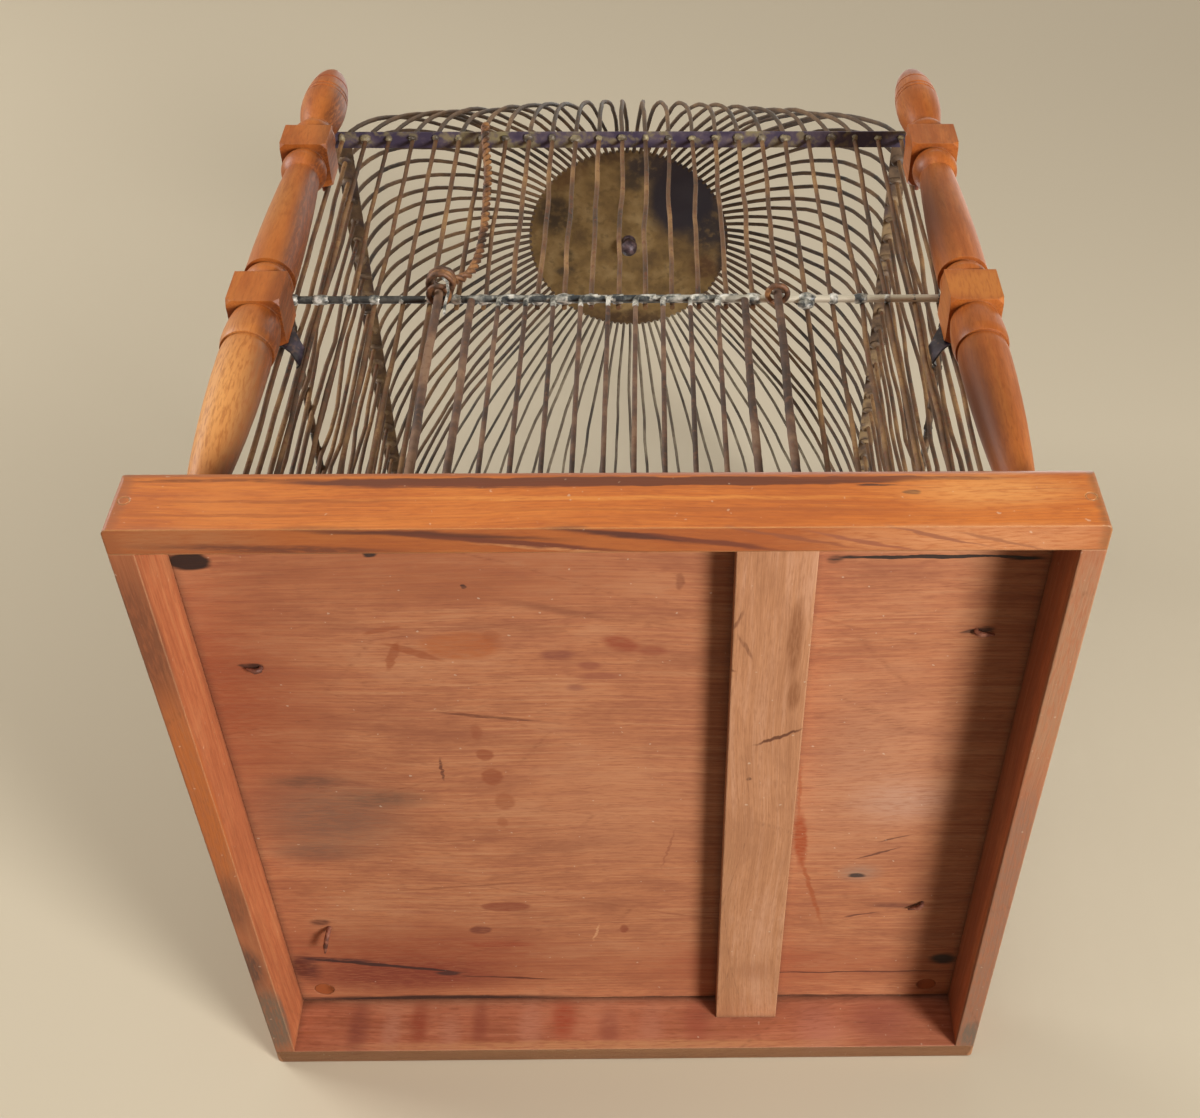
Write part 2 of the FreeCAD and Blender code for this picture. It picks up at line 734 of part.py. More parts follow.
def tie_coil():
    """Return the coil of tie wire over the left eye, printing its least gap to itself."""
    centre_x = door_offset_x - door_guide_half_width
    slope = coil_pitch / (2 * math.pi * coil_radius)

    def on_helix(turns):
        angle = 2 * math.pi * turns
        spot = point(
            centre_x + coil_radius * math.cos(angle),
            door_y + coil_radius * math.sin(angle),
            coil_bottom_z + coil_pitch * turns,
        )
        way = point(-math.sin(angle), math.cos(angle), slope)
        return spot, way.normalize()

    edges = []
    for quarter in range(4 * coil_turns):
        edges += biarc(*on_helix(quarter / 4), *on_helix((quarter + 1) / 4))
    per_turn = 72
    spots = [on_helix(index / per_turn)[0] for index in range(per_turn * coil_turns + 1)]
    apart = per_turn // 2
    least = min(
        (spots[a] - spots[b]).Length for a in range(len(spots)) for b in range(a + apart, len(spots))
    )
    print("coil least gap to itself", round(least - 2 * coil_wire_radius, 3))
    return swept(Part.Wire(edges), coil_wire_radius)


def tie_tail():
    """Return the tail of the tie wire from the coil up to the front strip."""
    coil_x = door_offset_x - door_guide_half_width
    rise = band_bottom - mid_bar_z
    spots = [point(coil_x + tail_start_side, -wall_half_y - tail_start_out, mid_bar_z + tail_start_rise)]
    for steps, out, share in tail_turns:
        spots.append(point(steps * pitch_x, -wall_half_y - out, mid_bar_z + share * rise))
    spots.append(point(tail_end_steps * pitch_x, -wall_half_y - tail_end_out, band_bottom + tail_end_rise))
    edges = []
    start = spots[0]
    for before, corner, after in zip(spots, spots[1:], spots[2:]):
        inward = before - corner
        onward = after - corner
        cut_back = tail_bend_share * min(inward.Length, onward.Length)
        arc_start = corner + inward.normalize() * cut_back
        arc_end = corner + onward.normalize() * cut_back
        edges.append(Part.makeLine(start, arc_start))
        edges.append(tangent_arc(arc_start, corner, arc_end))
        start = arc_end
    edges.append(Part.makeLine(start, spots[-1]))
    print("tail bend radii", [round(edge.Curve.Radius, 1) for edge in edges[1::2]])
    return swept(Part.Wire(edges), tail_radius)


def all_parts():
    """Return every piece of the cage by name."""
    found = {}
    found.update(rails())
    found["floor_board"] = floor_board()
    found["floor_batten"] = floor_batten()
    found["rail_nails"] = Part.makeCompound([nail(*place) for place in rail_nail_places()])
    found["batten_nails"] = Part.makeCompound([nail(*place) for place in batten_nail_places()])
    found["floor_nails"] = Part.makeCompound([nail(*place) for place in floor_nail_places()])
    found.update(posts())
    found["mid_tabs"] = mid_tabs()
    found["upper_pins"] = upper_pins()
    found.update(wall_wires())
    found.update(mid_bars())
    found.update(top_bands())
    found.update(dome_wires())
    found["crown_disc"] = crown_disc()
    found["crown_cap"] = crown_cap()
    found["crown_hanger"] = crown_hanger()
    found["hanging_ring"] = hanging_ring()
    found.update(door_pieces())
    found.update(guide_eyes())
    found["tie_coil"] = tie_coil()
    found["tie_tail"] = tie_tail()
    return found


os.makedirs("parts", exist_ok=True)
for name, shape in all_parts().items():
    shape.exportStep(os.path.join("parts", name + ".step"))
    print(name, len(shape.Solids), "valid" if shape.isValid() else "not valid", round(shape.Volume, 1))
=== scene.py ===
"""Looks for the old bird cage: finishes, hand-worked wire, floor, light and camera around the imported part."""

import logging
import math
from collections.abc import Callable, Iterator
from contextlib import contextmanager
from dataclasses import dataclass
from enum import Enum

import bpy
from bpy.types import Material, Node, NodeSocket, NodeTree, Object
from mathutils import Matrix, Vector


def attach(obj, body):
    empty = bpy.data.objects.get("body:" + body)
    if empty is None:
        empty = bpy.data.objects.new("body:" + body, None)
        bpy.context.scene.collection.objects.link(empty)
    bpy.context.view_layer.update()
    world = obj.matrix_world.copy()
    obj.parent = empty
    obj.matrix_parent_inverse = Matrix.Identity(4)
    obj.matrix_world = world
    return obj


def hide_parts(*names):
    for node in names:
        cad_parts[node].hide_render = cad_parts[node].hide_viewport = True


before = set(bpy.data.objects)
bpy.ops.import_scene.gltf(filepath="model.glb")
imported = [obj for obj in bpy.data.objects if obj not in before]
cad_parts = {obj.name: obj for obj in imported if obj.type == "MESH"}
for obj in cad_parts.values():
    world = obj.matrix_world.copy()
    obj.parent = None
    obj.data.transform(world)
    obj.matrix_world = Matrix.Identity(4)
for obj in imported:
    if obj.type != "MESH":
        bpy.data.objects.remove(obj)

log = logging.getLogger("bird_cage")
MM = 0.001
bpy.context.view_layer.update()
# A mark at least this strong covers its place without gaps
SOLID = 0.95
# Where the faces that carry stains lie, in millimetres, and how far a stain reaches up and down
BOARD_FACE = 26.6
BATTEN_FACE = 16.0
DISC_FACE = 453.0
STAIN_REACH = 60.0
FRONT_FACE = -169.5
REAR_INNER_FACE = 159.0
# Dry dust and chips, the same on all the wood
DUST = "E2CDB2"
WOOD_IOR = 1.5


class Axis(Enum):
    """The directions of grain and faces."""

    X = 0
    Y = 1
    Z = 2


class Body(Enum):
    """The bodies that move."""

    CAGE = "cage"
    DOOR = "door"


def linear(code: str) -> tuple[float, float, float, float]:
    """Turn an sRGB hex colour into a linear one.

    Args:
        code: six hex digits.
    Returns:
        Linear red, green and blue, and full alpha.
    """
    shares = [int(code[at:at + 2], 16) / 255 for at in (0, 2, 4)]
    red, green, blue = [s / 12.92 if s <= 0.04045 else ((s + 0.055) / 1.055) ** 2.4 for s in shares]
    return red, green, blue, 1.0


def add_node(tree: NodeTree, kind: str, sockets: dict | None = None, **settings) -> Node:
    """Add one node with its settings, socket values and links.

    Args:
        tree: the node tree that takes it.
        kind: the node's type after the word ShaderNode.
        sockets: inputs by name or number; an output socket is linked, any other value is set.
        settings: the node's own settings, and stops for the places and colours of a colour ramp.
    Returns:
        The new node.
    """
    node = tree.nodes.new("ShaderNode" + kind)
    stops = settings.pop("stops", ())
    for name, value in settings.items():
        setattr(node, name, value)
    for spare in range(len(stops) - 2):
        node.color_ramp.elements.new(1.0)
    for at, (place, code) in enumerate(stops):
        node.color_ramp.elements[at].position = place
        node.color_ramp.elements[at].color = linear(code)
    for name, value in (sockets or {}).items():
        if isinstance(value, NodeSocket):
            tree.links.new(value, node.inputs[name])
        else:
            node.inputs[name].default_value = value
    return node


@dataclass(frozen=True)
class Mark:
    """A stain, crack, worn edge, bare patch, or patch of painted light or shade at one place of a surface, in
    millimetres.
    """

    centre: tuple[float, float, float]
    half: tuple[float, float, float]
    colour: str
    strength: float = 0.8
    core: float = 0.5
    turn: float = 0.0

    def paint(self, tree: NodeTree, ragged: NodeSocket, broken: NodeSocket,
              colour: NodeSocket) -> NodeSocket:
        """Lay the mark over a colour.

        Args:
            tree: the material's node tree.
            ragged: coordinates whose small shifts roughen the mark's outline.
            broken: how much of the mark is left from spot to spot.
            colour: the colour under the mark.
        Returns:
            The colour with the mark on it.
        """
        local = add_node(tree, "Mapping", {
            "Vector": ragged,
            "Location": [v * MM for v in self.centre],
            "Rotation": (0, 0, math.radians(self.turn)),
            "Scale": [v * MM for v in self.half],
        }, vector_type="TEXTURE")
        ball = add_node(tree, "TexGradient", {"Vector": local.outputs[0]}, gradient_type="SPHERICAL")
        mask = add_node(tree, "MapRange", {
            "Value": ball.outputs["Fac"], "From Max": 1.001 - self.core, "To Max": self.strength,
        }, interpolation_type="SMOOTHSTEP")
        cover = mask.outputs[0]
        if self.strength < SOLID:
            cover = add_node(tree, "Math", {0: cover, 1: broken}, operation="MULTIPLY").outputs[0]
        laid = add_node(tree, "Mix", {0: cover, 6: colour, 7: linear(self.colour)}, data_type="RGBA")
        return laid.outputs[2]


def ragged_place(tree: NodeTree, place: NodeSocket, run: NodeSocket,
                 size_mm: float, shift_mm: float, detail: float) -> NodeSocket:
    """Shift coordinates a little by noise, so that what is drawn on them has ragged outlines.

    Args:
        tree: the material's node tree.
        place: the coordinates.
        run: the coordinates that the noise follows.
        size_mm: size of the outline's teeth.
        shift_mm: how far they reach.
        detail: how much finer the smallest teeth are.
    Returns:
        The shifted coordinates.
    """
    noise = add_node(tree, "TexNoise", {"Vector": run, "Scale": 1 / (size_mm * MM), "Detail": detail})
    centred = add_node(tree, "VectorMath", {0: noise.outputs["Color"], 1: (0.5, 0.5, 0.5)},
                       operation="SUBTRACT")
    shift = (2 * shift_mm * MM,) * 3
    moved = add_node(tree, "VectorMath", {0: centred.outputs[0], 1: shift, 2: place},
                     operation="MULTIPLY_ADD")
    return moved.outputs[0]


def stain(tree: NodeTree, colour: NodeSocket, code: str, value: NodeSocket,
          between: tuple[float, float], most: float | NodeSocket) -> NodeSocket:
    """Lay one colour over another, more of it as a value goes from one limit to the other.

    Args:
        tree: the material's node tree.
        colour: the colour underneath.
        code: the colour laid on it, as six hex digits.
        value: what decides how much of it shows.
        between: the values at which it starts and is full.
        most: its strength where it is full.
    Returns:
        The colour with the other on it.
    """
    start, full = between
    cover = add_node(tree, "MapRange", {"Value": value, "From Min": start, "From Max": full, "To Max": most})
    laid = add_node(tree, "Mix", {0: cover.outputs[0], 6: colour, 7: linear(code)}, data_type="RGBA")
    return laid.outputs[2]


def new_material(name: str) -> tuple[Material, NodeTree, Node]:
    """Start a material.

    Args:
        name: what the real material is.
    Returns:
        The material, its node tree and its main shader.
    """
    material = bpy.data.materials.new(name)
    material.use_nodes = True
    return material, material.node_tree, material.node_tree.nodes["Principled BSDF"]


@dataclass(frozen=True)
class OldWood:
    """Plain-sawn wood with streaks of grain, pores, grime, rubbed edges, corners darkened by painted shade and
    dirt, and local marks.
    """

    name: str
    tones: tuple[str, str, str]
    grain: Axis
    grime: str
    grime_amount: float = 0.5
    worn: str = "D9A271"
    wear: float = 1.0
    streak_mm: float = 3.2
    pore_mm: float = 0.8
    pore_depth: float = 0.4
    speck_mm: float = 0.9
    stretch: float = 60.0
    cloud_mm: float = 22.0
    dust: float = 0.35
    dust_mm: float = 2.4
    roughness: tuple[float, float] = (0.5, 0.75)
    coat: float = 0.0
    coat_roughness: float = 0.32
    gloss: float = 0.5
    relief_mm: float = 0.2
    scratch: str = ""
    scratch_gap_mm: float = 30.0
    # Painted shade mixed with dirt in corners and crevices, where ambient occlusion finds them: its colour and
    # strength
    corner: tuple[str, float] = ("2E160C", 0.6)
    corner_mm: float = 8.0
    under: tuple[str, float] = ("8E5236", 0.0)
    edge_mm: float = 1.0
    marks: tuple[Mark, ...] = ()

    def build(self) -> Material:
        """Return the wood as a material."""
        material, tree, shader = new_material(self.name)
        place = add_node(tree, "TexCoord").outputs["Object"]
        wander = ragged_place(tree, place, place, size_mm=110, shift_mm=5, detail=0.5)
        runs = []
        for stretch in (self.stretch, 0.6 * self.stretch, 6.0, 2.5):
            squeeze = [1.0, 1.0, 1.0]
            squeeze[self.grain.value] = 1 / stretch
            runs.append(add_node(tree, "Mapping", {"Vector": wander, "Scale": squeeze}).outputs[0])
        noises = []
        for run, size_mm, detail, roughness in zip(
            runs, (self.streak_mm, self.pore_mm, self.speck_mm, self.cloud_mm), (6.0, 2.0, 5.0, 7.0),
            (0.62, 0.6, 0.5, 0.66),
        ):
            noises.append(add_node(tree, "TexNoise", {
                "Vector": run, "Scale": 1 / (size_mm * MM), "Detail": detail, "Roughness": roughness,
            }).outputs["Fac"])
        streaks, pores, specks, cloud = noises
        dark, middle, light = self.tones
        # Early and late wood: soft streaks of differing width that follow the length, and fine dark pores
        body = add_node(tree, "ValToRGB", {"Fac": streaks},
                        stops=((0.24, dark), (0.5, middle), (0.76, light)))
        colour = stain(tree, body.outputs[0], dark, pores, between=(0.52, 0.34), most=self.pore_depth)
        colour = stain(tree, colour, self.grime, specks, between=(0.5, 0.32), most=0.5)
        # Handling and damp leave cloudy grime and pale bloom that hardly follow the grain
        colour = stain(tree, colour, self.grime, cloud, between=(0.48, 0.68), most=self.grime_amount)
        colour = stain(tree, colour, light, cloud, between=(0.47, 0.3), most=0.6)
        # Faces that look down have their own colour
        flat = add_node(tree, "NewGeometry")
        facing = add_node(tree, "SeparateXYZ", {0: flat.outputs["True Normal"]})
        under, bare = self.under
        colour = stain(tree, colour, under, facing.outputs["Z"], between=(-0.6, -0.8), most=bare)
        ragged = ragged_place(tree, place, runs[2], size_mm=2.6, shift_mm=1.5, detail=5.0)
        broken = add_node(tree, "MapRange", {
            "Value": specks, "From Min": 0.36, "From Max": 0.54, "To Min": 0.5,
        }).outputs[0]
        for mark in self.marks:
            colour = mark.paint(tree, ragged, broken, colour)
        if self.scratch:
            # Hair-fine scores left by years of being pushed about, drawn 0.3 mm wide so that they show
            cells = add_node(tree, "TexVoronoi", {
                "Vector": runs[2], "Scale": 1 / (self.scratch_gap_mm * MM),
            }, feature="DISTANCE_TO_EDGE").outputs["Distance"]
            gate = add_node(tree, "MapRange", {
                "Value": specks, "From Min": 0.46, "From Max": 0.6, "To Max": 0.5,
            }).outputs[0]
            colour = stain(tree, colour, self.scratch, cells, between=(0.012, 0.0), most=gate)
        # Pale grains of dust and chipped spots
        grains = add_node(tree, "TexNoise", {
            "Vector": place, "Scale": 1 / (self.dust_mm * MM), "Detail": 1.0,
        }).outputs["Fac"]
        colour = stain(tree, colour, DUST, grains, between=(0.755, 0.8), most=self.dust)
        # Ambient occlusion darkens corners and crevices with painted shade mixed with dirt; edges lose their
        # colour
        nook = add_node(tree, "AmbientOcclusion", {"Distance": self.corner_mm * MM}, samples=4)
        shade_and_dirt, depth = self.corner
        colour = stain(tree, colour, shade_and_dirt, nook.outputs["AO"], between=(0.7, 0.25), most=depth)
        soft = add_node(tree, "Bevel", {"Radius": self.edge_mm * MM}, samples=4).outputs[0]
        bend = add_node(tree, "VectorMath", {0: soft, 1: flat.outputs["Normal"]}, operation="DOT_PRODUCT")
        rub = add_node(tree, "MapRange", {
            "Value": bend.outputs["Value"], "From Min": 0.97, "From Max": 0.8, "To Max": cloud,
        })
        rubbed = add_node(tree, "Math", {0: rub.outputs[0], 1: self.wear}, operation="MULTIPLY")
        worn = add_node(tree, "Mix", {0: rubbed.outputs[0], 6: colour, 7: linear(self.worn)},
                        data_type="RGBA")
        rough = add_node(tree, "MapRange", {
            "Value": streaks, "From Min": 0.3, "From Max": 0.7,
            "To Min": self.roughness[1], "To Max": self.roughness[0],
        })
        bump = add_node(tree, "Bump", {
            "Height": pores, "Normal": soft, "Strength": 0.7, "Distance": self.relief_mm * MM,
        })
        tree.links.new(worn.outputs[2], shader.inputs["Base Color"])
        tree.links.new(rough.outputs[0], shader.inputs["Roughness"])
        tree.links.new(bump.outputs[0], shader.inputs["Normal"])
        shader.inputs["Coat Weight"].default_value = self.coat
        shader.inputs["Coat Roughness"].default_value = self.coat_roughness
        shader.inputs["IOR"].default_value = WOOD_IOR
        shader.inputs["Specular IOR Level"].default_value = self.gloss
        return material


@dataclass(frozen=True)
class WeatheredMetal:
    """Metal, bare or painted, whose colour breaks up into patches and flecks."""

    name: str
    tones: tuple[str, str, str]
    fleck: str
    fleck_amount: float = 0.6
    patch_mm: float = 14.0
    fleck_mm: float = 2.5
    spread: tuple[float, float] = (0.38, 0.62)
    metallic: float = 0.4
    roughness: tuple[float, float] = (0.45, 0.75)
    relief_mm: float = 0.2
    marks: tuple[Mark, ...] = ()

    def build(self) -> Material:
        """Return the metal as a material."""
        material, tree, shader = new_material(self.name)
        place = add_node(tree, "TexCoord").outputs["Object"]
        patch = add_node(tree, "TexNoise", {
            "Vector": place, "Scale": 1 / (self.patch_mm * MM), "Detail": 5.0, "Roughness": 0.6,
        }).outputs["Fac"]
        low, high = self.spread
        dark, middle, light = self.tones
        body = add_node(tree, "ValToRGB", {"Fac": patch},
                        stops=((low, dark), ((low + high) / 2, middle), (high, light)))
        grit = add_node(tree, "TexNoise", {
            "Vector": place, "Scale": 1 / (self.fleck_mm * MM), "Detail": 3.0,
        }).outputs["Fac"]
        colour = stain(tree, body.outputs[0], self.fleck, grit, between=(0.54, 0.66), most=self.fleck_amount)
        ragged = ragged_place(tree, place, place, size_mm=9, shift_mm=4, detail=5.0)
        broken = add_node(tree, "MapRange", {
            "Value": grit, "From Min": 0.36, "From Max": 0.5, "To Min": 0.6,
        }).outputs[0]
        for mark in self.marks:
            colour = mark.paint(tree, ragged, broken, colour)
        rough = add_node(tree, "MapRange", {
            "Value": patch, "From Min": 0.3, "From Max": 0.7,
            "To Min": self.roughness[0], "To Max": self.roughness[1],
        })
        bump = add_node(tree, "Bump", {"Height": grit, "Strength": 0.6, "Distance": self.relief_mm * MM})
        tree.links.new(colour, shader.inputs["Base Color"])
        tree.links.new(rough.outputs[0], shader.inputs["Roughness"])
        tree.links.new(bump.outputs[0], shader.inputs["Normal"])
        shader.inputs["Metallic"].default_value = self.metallic
        return material


def face_marks(across: Axis, at: float, reach: float, *rows: tuple) -> tuple[Mark, ...]:
    """Return marks that lie on one flat face.

    Args:
        across: the axis that the face is square to.
        at: where the face lies on that axis.
        reach: how far the marks reach along it.
        rows: each mark's place and half sizes on the face, its colour, strength and core, and any turn.
    Returns:
        The marks.
    """
    marks = []
    for first, second, half_first, half_second, *look in rows:
        centre, half = [first, second], [half_first, half_second]
        centre.insert(across.value, at)
        half.insert(across.value, reach)
        marks.append(Mark(tuple(centre), tuple(half), *look))
    return tuple(marks)


# Varnished turned softwood: warm orange with a soft shine; painted shade darkens the posts' inner sides, and
# painted light brightens the front-left post's outer front and the front-right post's middle block
POST_VARNISH = OldWood(
    "Varnished turned pine", ("924A18", "AE5E24", "BC7030"), Axis.Z, "84400F", 0.75, "CF8E4C", 0.3,
    streak_mm=4.5, pore_depth=0.3, stretch=12, cloud_mm=38, dust=0, roughness=(0.38, 0.54), coat=0.1,
    gloss=0.32, relief_mm=0.12, corner=("4A220E", 0.5), edge_mm=0.5,
    marks=(
        Mark((0, 0, 24), (1000, 1000, 5), "98542F", 1.0, 0.7),
        # Painted shade: the inner sides of the four posts, which face the cage, darkened
        Mark((134, -150, 84), (22, 24, 70), "522408", 0.97, 0.1),
        Mark((134, -150, 226), (22, 24, 62), "522408", 0.97, 0.1),
        Mark((-135, -150, 200), (9, 15, 900), "5A2A10", 0.9, 0.4),
        Mark((136, 149, 200), (9, 15, 900), "5A2A10", 0.8, 0.4),
        Mark((-136, 149, 200), (9, 15, 900), "5A2A10", 0.8, 0.4),
        # Painted light: the front-right post's middle block lightened
        Mark((150, -160, 158), (30, 30, 14), "B8702E", 0.9, 0.4),
        Mark((144, -149, 356), (30, 30, 12), "6E3214", 0.6, 0.4),
        Mark((-144, -149, 352), (30, 30, 14), "8A3A1C", 0.6, 0.4),
        Mark((-144, -149, 364), (9, 9, 7), "8A6A48", 0.8, 0.4),
        Mark((144, -149, 364), (9, 9, 7), "5E4428", 0.8, 0.4),
        # Painted light: the front-left post lightened on its outer front side
        Mark((-152, -160, 84), (24, 26, 76), "E2A05A", 0.94, 0.2),
        Mark((-148, -158, 225), (10, 12, 40), "BC7A3A", 0.6, 0.2),
    ),
)

# Varnished pine rail: the same orange, stained dark along the top, bare and redder underneath
FRONT_RAIL_VARNISH = OldWood(
    "Varnished pine board", ("A2521A", "C46A24", "D47E34"), Axis.X, "A24E18", 0.5, "E4B070", 1.0,
    streak_mm=1.9, roughness=(0.34, 0.52), coat=0.3, under=("8E4A2A", 0.6), corner=("2E160C", 0.4),
    marks=(
        Mark((120, -164, -2), (80, 14, 5), "CC8A5A", 0.9, 0.3),
        *face_marks(
            Axis.Z, 0, 3,
            (-140, -165, 40, 8, "A8683E", 0.8, 0.3),
            (-110, -161, 60, 2.4, "6A3420", 0.9, 0.3, 2),
            (-60, -167, 60, 2.0, "55281C", 0.95, 0.3, 3),
            (-30, -163, 50, 1.6, "6A3220", 0.95, 0.4, 6),
            (-14, -160, 40, 1.0, "B97A4C", 0.9, 0.4, 6),
            (10, -166, 44, 2.2, "4E241C", 0.95, 0.3, 7),
            (34, -163, 30, 1.6, "6E3420", 0.95, 0.4, 10),
            (60, -165, 30, 1.0, "8E4E30", 0.95, 0.4, 12),
            (84, -163, 26, 1.0, "96563A", 0.95, 0.4, 14),
            (108, -165, 24, 0.9, "965A3C", 0.95, 0.4, 15),
            (130, -163, 22, 0.9, "A06440", 0.95, 0.4, 15),
        ),
        *face_marks(
            Axis.Y, FRONT_FACE, 30,
            (-14, 30.6, 400, 4.6, "A2501E", 0.8, 0.6),
            (-4, 23.6, 118, 2.7, "5E2810", 0.95, 0.8),
            (-40, 21.6, 60, 1.6, "6A2E12", 0.9, 0.6),
            (96, 24.6, 50, 1.3, "743614", 0.95, 0.6),
            (-128, 25.0, 44, 1.4, "82400F", 0.9, 0.5),
            (90, 21.4, 9, 0.8, "4A2010", 0.95, 0.6),
            (101, 17.4, 4, 1.4, "4A1E10", 0.95, 0.6),
            (-104, 14, 60, 1.2, "9A4E1A", 0.7, 0.4),
            (-120, 7, 50, 1.0, "A2541C", 0.7, 0.4),
            (30, 9, 90, 1.0, "A8581E", 0.7, 0.4),
            (0, 15, 120, 1.6, "DA8A3C", 0.7, 0.3),
        ),
        Mark((-163, -166, 16), (5, 30, 40), "94522A", 0.7, 0.3),
        Mark((165, -166, 16), (5, 30, 40), "8A5630", 0.8, 0.4),
        Mark((128, FRONT_FACE, 18), (44, 30, 12), "E09A54", 0.7, 0.2),
    ),
)

# Side rails: outer faces and undersides varnished and dirty, inner faces bare and tan; the right rail's inner
# face is darkened along its length with painted shade
SIDE_RAIL_VARNISH = OldWood(
    "Varnished pine side rail", ("A05730", "B96C42", "C68254"), Axis.Y, "94502F", 0.5, "D2A478", 0.8,
    streak_mm=2.4, roughness=(0.5, 0.72), coat=0.05, scratch="7E4828", under=("9A5A36", 0.5),
    marks=(
        Mark((-162, -118, 0), (12, 50, 4), "6E3E26", 0.8, 0.3),
        Mark((-161, -30, 0), (10, 80, 4), "B4622A", 0.9, 0.4),
        Mark((-162, 40, 0), (8, 26, 3), "7A462A", 0.8, 0.4),
        Mark((-165, 88, 0), (9, 22, 6), "54382A", 0.9, 0.4),
        Mark((-163, 132, 0), (14, 34, 6), "6E5A48", 0.9, 0.5),
        Mark((161, 70, 0), (12, 140, 4), "8C624A", 0.94, 0.6),
        Mark((161, -100, 0), (12, 80, 4), "9E7050", 0.94, 0.5),
        Mark((163, 150, 0), (8, 14, 5), "6A5848", 0.9, 0.5),
        Mark((-154, 20, 20), (4, 90, 12), "A8603E", 0.5, 0.2),
        # Painted shade: the right rail's inner face darkened along its whole length
        Mark((156, 0, 20), (2, 400, 18), "74402A", 0.6, 0.5),
    ),
)

# Rear rail: its inner face bare and red-brown, with upright smears of old varnish
REAR_RAIL_VARNISH = OldWood(
    "Varnished pine rear rail", ("96542F", "B0694A", "C0805E"), Axis.X, "86482F", 0.55, "C99870", 0.8,
    streak_mm=2.4, roughness=(0.5, 0.72), coat=0.05, scratch="74422C", under=("A87850", 0.75),
    marks=face_marks(
        Axis.Y, REAR_INNER_FACE, 8,
        (-128, 12, 8, 22, "7C4030", 0.8, 0.2),
        (-112, 10, 7, 20, "B57A5E", 0.8, 0.2),
        (-99, 14, 7, 18, "8A3C24", 0.8, 0.2),
        (-84, 8, 8, 16, "B4785C", 0.7, 0.2),
        (-70, 14, 6, 20, "84402C", 0.7, 0.2),
        (-46, 12, 9, 22, "B87C60", 0.7, 0.2),
        (-30, 16, 9, 16, "983E22", 0.8, 0.2),
        (-8, 10, 8, 18, "8C4C38", 0.7, 0.2),
        (12, 12, 9, 20, "B4765A", 0.6, 0.2),
        (34, 14, 10, 18, "9A4A34", 0.6, 0.2),
        (92, 10, 16, 20, "B0705A", 0.6, 0.2),
        (122, 14, 24, 20, "8A4A3A", 0.7, 0.2),
        (-10, 2, 160, 4, "C08A5C", 0.7, 0.3),
    ),
)
